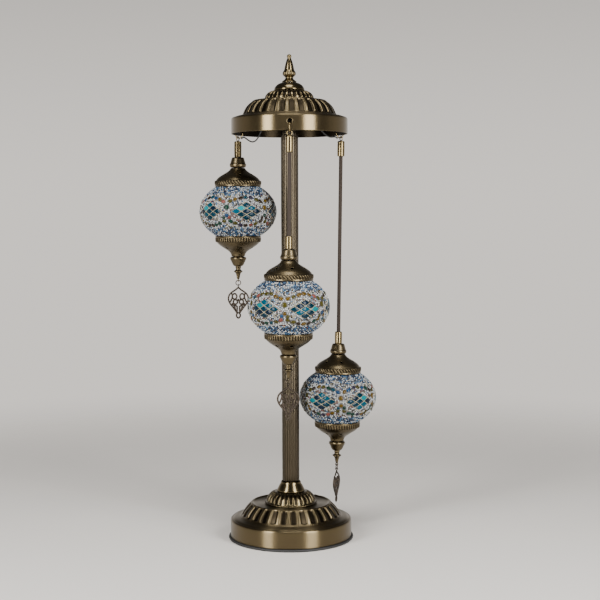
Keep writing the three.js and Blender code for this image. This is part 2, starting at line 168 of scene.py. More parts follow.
# two sheets on one grid, joined by walls wherever a kept cell has no kept neighbour
def sheetFaces(around, along, keep):
    i = np.arange(around)[:, None] * along
    j = np.arange(along - 1)[None, :]
    a = i + j
    b = np.roll(i, -1, 0) + j
    lift = around * along
    def cells(mask, *corners):
        return np.stack([np.broadcast_to(c, mask.shape)[mask] for c in corners], 1)
    below = keep & ~np.pad(keep, ((0, 0), (1, 0)))[:, :-1]
    above = keep & ~np.pad(keep, ((0, 0), (0, 1)))[:, 1:]
    nextGone = keep & ~np.roll(keep, -1, 0)
    lastGone = keep & ~np.roll(keep, 1, 0)
    return [
        cells(keep, a, b, b + 1, a + 1),
        cells(keep, a + lift, a + 1 + lift, b + 1 + lift, b + lift),
        cells(below, b, a, a + lift, b + lift),
        cells(above, a + 1, b + 1, b + 1 + lift, a + 1 + lift),
        cells(nextGone, b + 1, b, b + lift, b + 1 + lift),
        cells(lastGone, a, a + 1, a + 1 + lift, a + lift),
    ]


# round holes: square rings of cells about a hole's centre are eased into circles, the middle goes
def openHoles(theta, section, holes):
    around, along = len(theta), len(section)
    shiftTheta = np.zeros((around, along))
    shiftArc = np.zeros((around, along))
    keep = np.ones((around, along - 1), bool)
    arc = np.concatenate([[0], np.cumsum(np.linalg.norm(np.diff(section, axis=0), axis=1))])
    for hole in holes:
        radiusHere = np.interp(hole["arc"], arc, section[:, 0])
        ic = int(round(hole["theta"] / (2 * np.pi) * around)) % around
        jc = int(np.argmin(np.abs(arc - hole["arc"])))
        inner, outer = hole["rings"]
        di = (np.arange(around) - ic + around // 2) % around - around // 2
        ring = np.maximum(np.abs(di)[:, None], np.abs(np.arange(along) - jc)[None, :])
        u = di[:, None] * 2 * np.pi / around * radiusHere + 0 * ring
        v = (arc - arc[jc])[None, :] + 0 * ring
        length = np.maximum(np.hypot(u, v), 1e-6)
        ease = np.clip((ring - inner) / (outer - inner), 0, 1)
        beyond = (ring - inner).clip(0) * 2 * np.pi / around * radiusHere
        reach = hole["radius"] * np.clip(ring / inner, 0, 1) + beyond
        inside = ring <= outer
        shiftTheta += np.where(inside, (1 - ease) * (u / length * reach - u) / radiusHere, 0)
        shiftArc += np.where(inside, (1 - ease) * (v / length * reach - v), 0)
        gone = np.maximum(ring, np.roll(ring, -1, 0))
        gone = np.maximum(gone[:, :-1], gone[:, 1:]) <= inner
        keep &= ~gone
    return shiftTheta, shiftArc, arc, keep


# a thin turned shell: a section turned about Z, pushed by its relief along its normal, and the same
# again a wall's thickness further in, with round holes through both
def turnedShell(points, around, step, wall, relief=None, holes=(), rounds=2):
    section, _ = evenSteps(roundCorners(points, rounds), step)
    theta = angles(around)
    shiftTheta, shiftArc, arc, keep = openHoles(theta, section, holes)
    spread = theta + shiftTheta
    at = arc[None, :] + shiftArc
    r = np.interp(at, arc, section[:, 0])
    z = np.interp(at, arc, section[:, 1])
    normals = sectionNormals(section)
    nr = np.interp(at, arc, normals[:, 0])
    nz = np.interp(at, arc, normals[:, 1])
    push, hollow = relief(spread, at, r, z) if relief else (0 * r, 0 * r)
    def sheet(depth):
        rr = r + nr * (push - depth)
        zz = z + nz * (push - depth)
        return np.stack([rr * np.cos(spread), rr * np.sin(spread), zz], 2).reshape(-1, 3)
    values = np.concatenate([hollow.ravel(), np.full(hollow.size, 1.0)])
    return np.vstack([sheet(0), sheet(wall)]), sheetFaces(around, len(section), keep), values


# a solid turned about Z from a section that starts and ends near the axis, closed by two poles
def turnedSolid(points, around, step, relief=None, rounds=2):
    section, arc = evenSteps(roundCorners(points, rounds), step)
    theta = angles(around)
    r = section[None, :, 0] + 0 * theta
    z = section[None, :, 1] + 0 * theta
    normals = sectionNormals(section)
    push, hollow = relief(theta, arc[None, :], r, z) if relief else (0 * r, 0 * r)
    fade = np.clip(r / 1.5, 0, 1)  # no relief at the poles
    grid = turnedGrid(section, normals, theta, push * fade)[:, 1:-1]
    along = grid.shape[1]
    poles = np.array([[0, 0, section[0, 1]], [0, 0, section[-1, 1]]])
    i = np.arange(around)
    n = np.roll(i, -1)
    j = np.arange(along - 1)[None, :]
    a, b = i[:, None] * along + j, n[:, None] * along + j
    low, high = around * along, around * along + 1
    faces = [
        np.stack([a, b, b + 1, a + 1], 2).reshape(-1, 4),
        np.stack([np.full(around, low), n * along, i * along], 1),
        np.stack([i * along + along - 1, n * along + along - 1, np.full(around, high)], 1),
    ]
    values = np.concatenate([hollow[:, 1:-1].ravel(), [0, 0]])
    return np.vstack([grid.reshape(-1, 3), poles]), faces, values


# a ring turned about Z from a closed section walked bottom, outside, top, inside
def turnedRing(points, around, step, relief=None, rounds=2):
    section, arc = evenSteps(roundCorners(points, rounds, loop=True), step, loop=True)
    theta = angles(around)
    r = section[None, :, 0] + 0 * theta
    z = section[None, :, 1] + 0 * theta
    push, hollow = relief(theta, arc[None, :], r, z) if relief else (0 * r, 0 * r)
    grid = turnedGrid(section, sectionNormals(section, loop=True), theta, push)
    along = len(section)
    i = np.arange(around)[:, None]
    j = np.arange(along)[None, :]
    nextI, nextJ = np.roll(i, -1, 0), np.roll(j, -1, 1)
    corners = (i * along + j, nextI * along + j, nextI * along + nextJ, i * along + nextJ)
    return grid.reshape(-1, 3), [np.stack(corners, 2).reshape(-1, 4)], hollow.ravel()


# a tube: circles of radius(angle, arc) carried along a path, square to it, closed by end caps
def tubeAlong(path, around, radius, reference=(0.31, 0.19, 0.93), loop=False, flat=1.0):
    t = tangents(path, loop)
    side = np.cross(t, np.array(reference, float))
    side /= np.linalg.norm(side, axis=1, keepdims=True)
    other = np.cross(t, side)
    alpha = angles(around)[:, 0][None, :]
    arc = np.concatenate([[0], np.cumsum(np.linalg.norm(np.diff(path, axis=0), axis=1))])[:, None]
    reach = radius(alpha, arc) if callable(radius) else radius + 0 * alpha * arc
    points = (
        path[:, None, :]
        + (reach * np.cos(alpha))[:, :, None] * side[:, None, :]
        + (flat * reach * np.sin(alpha))[:, :, None] * other[:, None, :]
    )
    count = len(path)
    k = np.arange(count)[:, None] * around
    n = np.roll(k, -1, 0)
    k, n = (k, n) if loop else (k[:-1], n[:-1])
    m = np.arange(around)[None, :]
    nextM = np.roll(m, -1, 1)
    faces = [np.stack([k + m, k + nextM, n + nextM, n + m], 2).reshape(-1, 4)]
    if not loop:
        end = np.arange(around)[None, :]
        faces += [end[:, ::-1], end + (count - 1) * around]
    return points.reshape(-1, 3), faces


# several (points, faces[, values]) bundles as one
def mergeParts(parts):
    offset, points, faces, values = 0, [], [], []
    for part in parts:
        points.append(part[0])
        faces += [f + offset for f in part[1]]
        values.append(part[2] if len(part) > 2 else np.zeros(len(part[0])))
        offset += len(part[0])
    return np.vstack(points), faces, np.concatenate(values)


# turns a pendant's points by `turn` about its own axis, leans them, and hangs them on the ring; their
# heights count from the globe's centre, or from the ring where fromGlobe is false
def hangPoints(points, side, turn=0.0, fromGlobe=True):
    s = hang[side]
    a, lean, azimuth = np.radians(turn), np.radians(s["lean"]), np.radians(s["azimuth"])
    spin = np.array([[np.cos(a), -np.sin(a), 0], [np.sin(a), np.cos(a), 0], [0, 0, 1]])
    tip = np.array([[np.cos(lean), 0, np.sin(lean)], [0, 1, 0], [-np.sin(lean), 0, np.cos(lean)]])
    local = points - np.array([0, 0, s["drop"] if fromGlobe else 0])
    out, height = hangRing["radius"], hangRing["height"]
    origin = np.array([out * np.cos(azimuth), out * np.sin(azimuth), height])
    return (local @ spin.T) @ tip.T + origin


# a wire is one output socket; sums and products of wires add Math nodes
class Wire:
    def __init__(self, tree, socket):
        self.tree = tree
        self.socket = socket

    # a node of any type: settings first, then inputs by name, or by number as i0, i1 and so on
    def make(self, kind, settings=None, out=0, **inputs):
        node = self.tree.nodes.new(kind)
        for key, value in (settings or {}).items():
            setattr(node, key, value)
        for key, value in inputs.items():
            numbered = key[0] == "i" and key[1:].isdigit()
            spot = node.inputs[int(key[1:]) if numbered else key.replace("_", " ")]
            if isinstance(value, Wire):
                self.tree.links.new(value.socket, spot)
            else:
                spot.default_value = value
        return Wire(self.tree, node.outputs[out])

    def sum(self, operation, first, second):
        return self.make("ShaderNodeMath", {"operation": operation}, i0=first, i1=second)

    def __add__(self, other):
        return self.sum("ADD", self, other)

    def __radd__(self, other):
        return self.sum("ADD", other, self)

    def __sub__(self, other):
        return self.sum("SUBTRACT", self, other)

    def __rsub__(self, other):
        return self.sum("SUBTRACT", other, self)

    def __mul__(self, other):
        return self.sum("MULTIPLY", self, other)

    def __rmul__(self, other):
        return self.sum("MULTIPLY", other, self)

    # this factor's blend of two colours
    def mix(self, first, second):
        return self.make("ShaderNodeMix", {"data_type": "RGBA"}, out=2, i0=self, i6=first, i7=second)

    def clamp(self):
        return self.make("ShaderNodeClamp", None, i0=self)

    # 0 below low, 1 above high, smooth between
    def ease(self, low, high):
        settings = {"interpolation_type": "SMOOTHSTEP"}
        return self.make("ShaderNodeMapRange", settings, i0=self, i1=low, i2=high, i3=0.0, i4=1.0)


# a new material, its principled shader and a wire of Object coordinates
def newFinish(name, **constants):
    finish = bpy.data.materials.new(name)
    finish.use_nodes = True
    shader = finish.node_tree.nodes["Principled BSDF"]
    for key, value in constants.items():
        shader.inputs[key.replace("_", " ")].default_value = value
    start = Wire(finish.node_tree, None)
    place = start.make("ShaderNodeTexCoord", None, out=3)
    return finish, shader, place


# a wire into one of a shader's sockets
def join(wire, shader, socket):
    wire.tree.links.new(wire.socket, shader.inputs[socket])


# noise read at a place, drawn out along the axes where stretch is small
def noise(place, scale, detail, stretch=(1, 1, 1)):
    spread = place.make("ShaderNodeMapping", None, Vector=place, Scale=stretch)
    return place.make("ShaderNodeTexNoise", None, Vector=spread, Scale=scale, Detail=detail)


# a point attribute, as a number (out 2) or a colour (out 0)
def readValue(place, name, out=2):
    return place.make("ShaderNodeAttribute", {"attribute_name": name}, out=out)


# a height, 0 to 1 over a distance in metres, as a normal
def bump(place, height, distance, strength):
    return place.make("ShaderNodeBump", None, Height=height, Distance=distance, Strength=strength)


# plated brass: bright on ridges, dark wash in hollows, mottled, with fine brushed lines;
# stretch draws its highlights out across the brushing
def agedBrass(name, s):
    stretch = s.get("stretch", 0.0)
    finish, shader, place = newFinish(name, Metallic=1.0, Anisotropic=stretch, Anisotropic_Rotation=0.25)
    hollow = readValue(place, "hollow")
    blotch = noise(place, s["blotch"], 5)
    fine = noise(place, s["grain"], 4)
    brushed = noise(place, s["brushScale"], 2, s["brush"])
    wash = (hollow * s["wash"] + (blotch - 0.5) * s["mottle"] + (fine - 0.5) * s["speckle"]).clamp()
    tone = wash.mix((*s["bright"], 1), (*s["dark"], 1))
    join(tone, shader, "Base Color")
    rough = (s["rough"] + wash * s["roughWash"] + (brushed - 0.5) * s["roughBrush"]).clamp()
    join(rough, shader, "Roughness")
    height = brushed * s["brushDepth"] + fine * s["grainDepth"]
    join(bump(place, height, distance=0.0004, strength=s["bump"]), shader, "Normal")
    return finish


standBrass = agedBrass("standBrass", {
    "blotch": 26, "grain": 900, "brushScale": 60, "brush": (1, 1, 60), "wash": 0.9, "mottle": 0.2,
    "speckle": 0.1, "bright": (0.13, 0.1, 0.054), "dark": (0.012, 0.009, 0.006), "rough": 0.31,
    "roughWash": 0.06, "roughBrush": 0.06, "brushDepth": 0.5, "grainDepth": 0.06, "bump": 0.06,
    "stretch": 0.95,
})
turnedBrass = agedBrass("turnedBrass", {
    "blotch": 40, "grain": 900, "brushScale": 60, "brush": (1, 1, 40), "wash": 0.95, "mottle": 0.18,
    "speckle": 0.08, "bright": (0.125, 0.096, 0.05), "dark": (0.012, 0.009, 0.006), "rough": 0.2,
    "roughWash": 0.12, "roughBrush": 0.06, "brushDepth": 0.4, "grainDepth": 0.05, "bump": 0.05,
    "stretch": 0.2,
})
poleBrass = agedBrass("poleBrass", {
    "blotch": 18, "grain": 700, "brushScale": 60, "brush": (20, 20, 1), "wash": 0.95, "mottle": 0.22,
    "speckle": 0.12, "bright": (0.066, 0.053, 0.035), "dark": (0.008, 0.006, 0.004), "rough": 0.22,
    "roughWash": 0.12, "roughBrush": 0.08, "brushDepth": 0.4, "grainDepth": 0.06, "bump": 0.08,
})
capBrass = agedBrass("capBrass", {
    "blotch": 110, "grain": 1400, "brushScale": 120, "brush": (1, 1, 12), "wash": 1.0, "mottle": 0.3,
    "speckle": 0.2, "bright": (0.104, 0.08, 0.044), "dark": (0.008, 0.006, 0.004), "rough": 0.33,
    "roughWash": 0.14, "roughBrush": 0.1, "brushDepth": 0.4, "grainDepth": 0.2, "bump": 0.1,
})
fittingBrass = agedBrass("fittingBrass", {
    "blotch": 120, "grain": 1400, "brushScale": 160, "brush": (1, 1, 18), "wash": 0.8, "mottle": 0.22,
    "speckle": 0.12, "bright": (0.18, 0.136, 0.066), "dark": (0.02, 0.015, 0.01), "rough": 0.2,
    "roughWash": 0.16, "roughBrush": 0.08, "brushDepth": 0.4, "grainDepth": 0.1, "bump": 0.07,
})
charmBrass = agedBrass("charmBrass", {
    "blotch": 180, "grain": 1600, "brushScale": 300, "brush": (1, 1, 1), "wash": 0.7, "mottle": 0.6,
    "speckle": 0.4, "bright": (0.05, 0.039, 0.03), "dark": (0.012, 0.009, 0.007), "rough": 0.42,
    "roughWash": 0.15, "roughBrush": 0.1, "brushDepth": 0.3, "grainDepth": 0.6, "bump": 0.25,
})


# a plain metal, rubber, felt or plastic: two close tones, grain, and its own roughness
def grained(name, s):
    finish, shader, place = newFinish(name, Metallic=s.get("metal", 0.0))
    coarse = noise(place, s["coarse"], 4, s.get("stretch", (1, 1, 1)))
    fine = noise(place, s["fine"], 3)
    blend = ((coarse - 0.5) * 1.4 + (fine - 0.5) * 0.8 + 0.5).clamp()
    join(blend.mix((*s["low"], 1), (*s["high"], 1)), shader, "Base Color")
    join((s["rough"] + (fine - 0.5) * s["roughSpread"]).clamp(), shader, "Roughness")
    join(bump(place, fine + coarse * 0.4, s["relief"], s["bump"]), shader, "Normal")
    return finish


rubber = grained("edgeRubber", {
    "coarse": 60, "fine": 1500, "low": (0.005, 0.005, 0.005), "high": (0.013, 0.0125, 0.012),
    "rough": 0.62, "roughSpread": 0.2, "relief": 0.0002, "bump": 0.3,
})
felt = grained("baseFelt", {
    "coarse": 300, "fine": 2600, "low": (0.012, 0.012, 0.013), "high": (0.05, 0.05, 0.052), "rough": 0.95,
    "roughSpread": 0.06, "relief": 0.0006, "bump": 0.9,
})
zincSteel = grained("zincSteel", {
    "coarse": 90, "fine": 800, "low": (0.32, 0.32, 0.33), "high": (0.6, 0.6, 0.58), "rough": 0.36,
    "roughSpread": 0.2, "relief": 0.0002, "bump": 0.2, "metal": 1.0, "stretch": (1, 1, 20),
})
castIron = grained("castIron", {
    "coarse": 140, "fine": 900, "low": (0.05, 0.05, 0.052), "high": (0.16, 0.15, 0.145), "rough": 0.72,
    "roughSpread": 0.25, "relief": 0.0009, "bump": 0.8, "metal": 0.7,
})
holderPlastic = grained("holderPlastic", {
    "coarse": 70, "fine": 1800, "low": (0.018, 0.018, 0.019), "high": (0.036, 0.036, 0.037),
    "rough": 0.42, "roughSpread": 0.18, "relief": 0.00015, "bump": 0.25,
})
wireSheath = grained("wireSheath", {
    "coarse": 200, "fine": 1800, "low": (0.008, 0.008, 0.008), "high": (0.022, 0.021, 0.02), "rough": 0.6,
    "roughSpread": 0.15, "relief": 0.0001, "bump": 0.2,
})
bulbFrost = grained("bulbFrost", {
    "coarse": 50, "fine": 900, "low": (0.78, 0.77, 0.73), "high": (0.9, 0.89, 0.85), "rough": 0.3,
    "roughSpread": 0.1, "relief": 0.00005, "bump": 0.1,
})
# grout between the chips; its dark tones are painted shade for the shadowed gaps
groutPaintedShade = grained("groutPaintedShade", {
    "coarse": 160, "fine": 1500, "low": (0.035, 0.035, 0.038), "high": (0.12, 0.118, 0.112),
    "rough": 0.75, "roughSpread": 0.2, "relief": 0.0004, "bump": 0.7,
})


# woven sleeve: two dark browns crossed by the braid's own height, soft all over
def braidFinish():
    finish, shader, place = newFinish("braidedTextile", Sheen_Weight=0.04, Sheen_Roughness=0.5, IOR=1.3)
    hollow = readValue(place, "hollow")
    fibre = noise(place, 2600, 3, (1, 1, 0.35))
    deep = (hollow * 0.8 + (fibre - 0.5) * 0.7).clamp()
    tone = deep.mix((0.045, 0.032, 0.023, 1), (0.008, 0.006, 0.005, 1))
    join(tone, shader, "Base Color")
    join((0.82 + (fibre - 0.5) * 0.2).clamp(), shader, "Roughness")
    join(bump(place, fibre, distance=0.0002, strength=0.6), shader, "Normal")
    return finish


# cut glass and seed beads: each piece's own tint, clouded, under a clear gloss
def glassFinish(name, rough, cloud, coat, index):
    finish, shader, place = newFinish(name, Coat_Roughness=0.12, IOR=index)
    tint = readValue(place, "tint", out=0)
    cloudy = noise(place, 420, 4)
    shade = ((cloudy - 0.5) * cloud + 0.5).clamp()
    clouded = place.make("ShaderNodeMix", {"data_type": "RGBA", "blend_type": "MULTIPLY"}, out=2,
                         i0=1.0, i6=tint, i7=(0.55, 0.6, 0.65, 1))
    join(shade.mix(clouded, tint), shader, "Base Color")
    join((rough + (cloudy - 0.5) * 0.1).clamp(), shader, "Roughness")
    join((coat + (cloudy - 0.5) * 0.1).clamp(), shader, "Coat Weight")
    join(bump(place, cloudy, distance=0.0002, strength=0.25), shader, "Normal")
    return finish


braid = braidFinish()
cutGlass = glassFinish("cutGlass", rough=0.2, cloud=1.6, coat=0.03, index=1.25)
seedGlass = glassFinish("seedGlass", rough=0.36, cloud=1.0, coat=0.05, index=1.35)
print("finishes made")


# cords, in mm: a braid runs from inside one ferrule (below the hook) to inside the other (above the
# globe); a feed wire runs from its ferrule's eye, and from its point "held" onwards stays with the stand
braidSize = {
    "radius": 2.84, "relief": 0.14, "strands": 8, "pitch": 7.0, "around": 32, "step": 0.7, "ferrule": -21.5,
    "lowerFerrule": 102.4, "inside": 5.5,
}
feedSize = {"radius": 1.1, "around": 12, "step": 1.5, "held": 22}
feedRoutes = {
    "left": [
        (-74.3, 42.4, 613.9), (-73.6, 41.8, 615.2), (-71.8, 40.8, 616.4), (-69.6, 39.4, 616.2),
        (-66.2, 37.4, 613.6), (-61.8, 34.8, 610.2), (-57, 32, 608.4), (-52.4, 29.4, 609.8),
        (-48.4, 27.2, 614.4), (-45, 25.6, 621), (-41.4, 24.6, 630), (-37.4, 24.4, 639.4),
        (-32.4, 24.8, 647.6), (-26.6, 25.6, 654.6), (-20.4, 26.6, 659),
        (-14.4, 27, 660.2)],
    "front": [
        (2.6, -85.4, 613.9), (3, -84, 615.2), (3.6, -81.4, 616.2), (4.2, -77.4, 615.4), (4.6, -72, 613.4),
        (4.6, -66, 613.2), (4.2, -60, 616.6), (3.2, -54, 623.4), (0.8, -46.6, 633), (-4, -38, 642.4),
        (-10.4, -28.4, 650.4), (-16.4, -17.6, 655.6), (-20, -5.6, 658.4), (-20.4, 4, 659.8),
        (-16, 12.4, 660.4),
        (-10.4, 18.4, 660.6)],
    "right": [
        (74.3, 42.4, 613.9), (73.4, 42.2, 615.3), (71.4, 41.6, 616.6), (68.6, 40.4, 616.6), (65, 38.6, 616),
        (61, 36.6, 616.4), (56.6, 34.4, 618.6), (52, 32.2, 622.6), (47.4, 30.2, 628.2), (42.6, 28.6, 635),
        (37.6, 27.6, 642.2), (32.2, 27.2, 649), (26.4, 27, 655), (20.2, 27, 659), (14.4, 27, 660.2)],
}


# metres along a path in mm
def pathLength(path):
    return float(np.linalg.norm(np.diff(path, axis=0), axis=1).sum()) * mm


# the black leads slacken between a ferrule's top and the terminal block; they are left unattached where they
# lie
def addFeedWires(s):
    for side, route in feedRoutes.items():
        path, _ = evenSteps(roundCorners(route, 3), s["step"])
        points, faces = tubeAlong(path, s["around"], s["radius"])
        wire = makePiece(f"feedWire_{side}", points, faces, wireSheath, None, (f"feed_wire_{side}",))
        pathLength(path)
        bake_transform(wire)


# a braid: strands wound both ways raise the tube where they cross
def addTextileCords(s):
    for side in ("front", "right"):
        low = s["lowerFerrule"] - hang[side]["drop"] - s["inside"]
        count = int((s["ferrule"] - low) / s["step"])
        line = np.stack([np.zeros(count), np.zeros(count), np.linspace(s["ferrule"], low, count)], 1)
        path = hangPoints(line, side, fromGlobe=False)
        turnRate = 2 * np.pi / s["pitch"]
        def weave(alpha, arc):
            strand, wound = s["strands"] * alpha / 2, arc * turnRate
            return np.abs(np.sin(strand + wound) * np.sin(strand - wound))
        points, faces = tubeAlong(path, s["around"], lambda a, t: s["radius"] + s["relief"] * weave(a, t))
        arc = np.arange(count)[:, None] * s["step"]
        hollow = (1 - weave(angles(s["around"])[:, 0][None, :], arc)).ravel()
        cord = makePiece(f"textileCord_{side}", points, faces, braid, f"pendant_{side}", (f"cord_{side}",),
                         values=hollow)
        path[0] * mm
        pathLength(path)
        path * mm


addFeedWires(feedSize)
addTextileCords(braidSize)
print("cords made")


# from 0 to 1 with level ends: 3x^2 - 2x^3
def smooth(x):
    x = np.clip(x, 0, 1)
    return x * x * (3 - 2 * x)


slotBlunt = 2.4  # how many times shorter than round a slot's ends are


# reliefs give a push outwards in mm and how hollow each point is, 0 to 1

# round-ended slots side by side: a slot's depth grows inwards from its outline
def slots(theta, at, r, count, start, end, width, soft, depth):
    phase = theta * count / (2 * np.pi)
    u = np.abs(phase - np.round(phase)) * 2 * np.pi * r / count
    half = width * np.pi * r / count
    middle, reach = (start + end) / 2, (end - start) / 2
    v = np.maximum(np.abs(at - middle) - (reach - half / slotBlunt), 0) * slotBlunt
    cut = smooth((half - np.hypot(u, v)) / soft)
    return -depth * cut, cut


# a line of small beads at one place along the section
def beadLine(theta, at, place, width, count, height):
    across = np.clip(1 - ((at - place) / width) ** 2, 0, 1)
    along = np.abs(np.sin(theta * count / 2)) ** 0.7
    return height * np.sqrt(across) * along, across * (1 - along)


# slanting strokes like a rope in a band, which `at` measures along the section or by height
def ropeBand(theta, at, start, end, count, slant, height):
    inside = smooth((at - start) / 0.8) * smooth((end - at) / 0.8)
    wave = 0.5 + 0.5 * np.sin(theta * count + (at - start) * slant)
    return height * inside * wave, inside * (1 - wave)


# pushes added up, hollows added up to 1
def combine(*reliefs):
    push = sum(r[0] for r in reliefs)
    hollow = np.clip(sum(r[1] for r in reliefs), 0, 1)
    return push, hollow


# a node's name in camelCase, as its piece is called
def label(name):
    first, *rest = name.split("_")
    return first + "".join(word.capitalize() for word in rest)


# pressed shells, in mm: slot is its share of the pitch, its soft edge and its depth; beads are their
# height on the section, half width, count and rise
baseShape = {
    "section": [(93, 4.3), (93, 17), (93, 28), (92.6, 29.8), (91, 30.8), (90.2, 31.2), (89.6, 30.6),
                (88.6, 31.6), (86, 32.8), (80, 33.6), (77, 34.4), (75.8, 36), (74.8, 37.6), (71.6, 43.6),
                (66.6, 49.4), (63, 52.8), (61.4, 54.8), (59.8, 55.3), (57.6, 54.6), (56, 53.4),
                (40, 53.2), (5.6, 53.2)],
    "flutes": 29, "around": 522, "step": 0.9, "wall": 0.8, "heights": (36.2, 54.2),
    "slot": (0.74, 2.4, 1.9), "beads": (35.0, 1.0, 150, 0.5),
}
canopyShape = {
    "section": [(88.2, 618.5), (88.2, 630), (88.2, 640.4), (87.6, 641.8), (86, 643), (84.6, 642.8),
                (82.4, 644.2), (77, 645.6), (72, 646.2), (70.8, 648), (69.2, 652), (66, 658.6),
                (61, 663.8), (57, 666.6), (55.2, 668.6), (53, 668.9), (50.6, 668), (49, 666.8),
                (40, 666.6), (5.6, 666.6)],
    "flutes": 29, "around": 522, "step": 0.9, "wall": 0.8, "heights": (647.2, 667.6),
    "slot": (0.74, 2.4, 1.9), "beads": (646.5, 1.0, 140, 0.5),
}


# flutes between two heights of a shell and a line of beads below them
def flutedRelief(s):
    start, end = (arcOf(s["section"], z) for z in s["heights"])
    height, *beads = s["beads"]
    place = arcOf(s["section"], height)
    def relief(theta, at, r, z):
        return combine(slots(theta, at, r, s["flutes"], start, end, *s["slot"]),
                       beadLine(theta, at, place, *beads))
    return relief


# how far along a section its line first comes nearest to a height
def arcOf(points, height):
    section, at = evenSteps(roundCorners(points, 2), 0.5)
    return float(at[np.argmin(np.abs(section[:, 1] - height))])


inletHole = {"height": 14, "radius": 4.4}
hookHoles = {"height": 632, "radius": 4.0}
holeRings = (3, 7)  # cells from a hole's centre to its edge, and to where the grid is square again


# a round hole in a shell at an azimuth in degrees
def holeAt(s, hole, azimuth):
    theta, arc = np.radians(azimuth) % (2 * np.pi), arcOf(s["section"], hole["height"])
    return {"theta": theta, "arc": arc, "radius": hole["radius"], "rings": holeRings}


# the two stampings: one hole at the back of the base, one for each hook in the canopy
def addShells():
    inlet = [holeAt(baseShape, inletHole, 90)]
    hooks = [holeAt(canopyShape, hookHoles, hang[side]["azimuth"]) for side in sides]
    for name, s, holes in (("base_shell", baseShape, inlet), ("canopy_shell", canopyShape, hooks)):
        relief = flutedRelief(s)
        points, faces, values = turnedShell(s["section"], s["around"], s["step"], s["wall"], relief, holes)
        makePiece(label(name), points, faces, standBrass, "stand", (name,), values)


# slots: count, start and end along the section, share of the pitch, soft edge, depth; beads as above
rosetteRelief = {"slots": (28, 4.6, 25.5, 0.72, 1.5, 1.3), "beads": (1.6, 1.3, 88, 0.45), "foot": 2.4}
rosettes = {
    "base_rosette": {"foot": 53.9, "height": 18.1, "footR": 40, "topR": 22},
    "canopy_rosette": {"foot": 667.3, "height": 16.1, "footR": 40, "topR": 23},
}


# a low fluted dome whose outline is a quarter ellipse over a rolled foot
def addRosettes():
    f = rosetteRelief["foot"]
    for name, s in rosettes.items():
        wide, tall = s["footR"] - f - s["topR"], s["height"] - f
        a = np.linspace(0, np.pi / 2, 9)
        curve = [(s["topR"] + wide * np.cos(t), s["foot"] + f + tall * np.sin(t)) for t in a]
        section = [(s["footR"] - 0.6, s["foot"]), (s["footR"], s["foot"] + 0.9),
                   (s["footR"] - 0.9, s["foot"] + 2), *curve, (5.6, s["foot"] + s["height"])]
        relief = lambda theta, at, r, z: combine(
            slots(theta, at, r, *rosetteRelief["slots"]), beadLine(theta, at, *rosetteRelief["beads"]))
        points, faces, values = turnedShell(section, around=448, step=0.7, wall=0.8, relief=relief)
        makePiece(label(name), points, faces, turnedBrass, "stand", (name,), values)


poleShape = {
    "radius": 13.2, "reeds": 24, "low": 72.3, "high": 665.7, "wall": 1.7, "depth": 0.55, "roundness": 0.55,
    "perReed": 14, "step": 25,
}


# reeds: the radius falls to a narrow valley between rounded ribs
def addPole(s):
    def relief(theta, at, r, z):
        rib = np.abs(np.cos(theta * s["reeds"] / 2)) ** s["roundness"]
        return -s["depth"] * (1 - rib), 1 - rib
    section = [(s["radius"], s["low"]), (s["radius"], s["high"])]
    around = s["reeds"] * s["perReed"]
    points, faces, values = turnedShell(section, around, s["step"], s["wall"], relief, rounds=0)
    makePiece("reededPole", points, faces, poleBrass, "stand", ("pole",), values)


turnedStand = {
    "base_collar": [(13.7, 72.3), (21.4, 72.3), (21.6, 73.6), (20.8, 75.4), (18.6, 79.6), (16.4, 83.4),
                    (15.6, 85), (15.5, 86.2), (14.6, 87.5), (13.7, 87.5)],
    "canopy_dome": [(5.6, 683.7), (23, 683.7), (23.4, 684.8), (22.6, 686.8), (21.4, 689.4), (18.6, 692.4),
                    (14.6, 694.6), (11.6, 695.4), (5.6, 695.5)],
    "edge_ring": [(86.2, 0), (94.8, 0), (96, 1.2), (96, 2.6), (95.2, 4), (86.2, 4)],
}
finialRibs = {"height": 709, "spread": 3.4, "ribs": 12, "roundness": 0.6, "depth": 0.9}
finialShape = [(0, 696), (9, 695.9), (11.4, 696), (11.5, 697), (8.4, 699.2), (6, 701.4), (5.9, 703),
               (7.4, 704.6), (9.8, 706.8), (10.2, 709.4), (9.6, 711.6), (8, 713.6), (7.6, 715),
               (6.8, 719), (5.4, 725), (3.8, 730), (2.6, 732.2), (2.9, 733.2), (3.7, 734.8), (3, 736.8),
               (1.6, 738), (0, 738.2)]


# the finial's bulb is ribbed: grooves between its ribs, deepest at one height
def addTurnedStand(s):
    for name, section in turnedStand.items():
        points, faces, values = turnedRing(section, around=120, step=0.8)
        finish, slotName = (rubber, "rubber") if name == "edge_ring" else (turnedBrass, "antique_brass")
        makePiece(label(name), points, faces, finish, "stand", (name,), values)
    def ribs(theta, at, r, z):
        here = np.exp(-((z - s["height"]) / s["spread"]) ** 2)
        rib = np.abs(np.cos(theta * s["ribs"] / 2)) ** s["roundness"]
        return -s["depth"] * here * (1 - rib), here * (1 - rib)
    points, faces, values = turnedSolid(finialShape, around=144, step=0.5, relief=ribs)
    makePiece("topFinial", points, faces, turnedBrass, "stand", ("finial",), values)


addShells()
addRosettes()
addPole(poleShape)
addTurnedStand(finialRibs)
print("stand made")


# the pendants' metal, in mm above the globe's centre
ventHoles = {"count": 6, "radius": 2.6, "turn": 12}
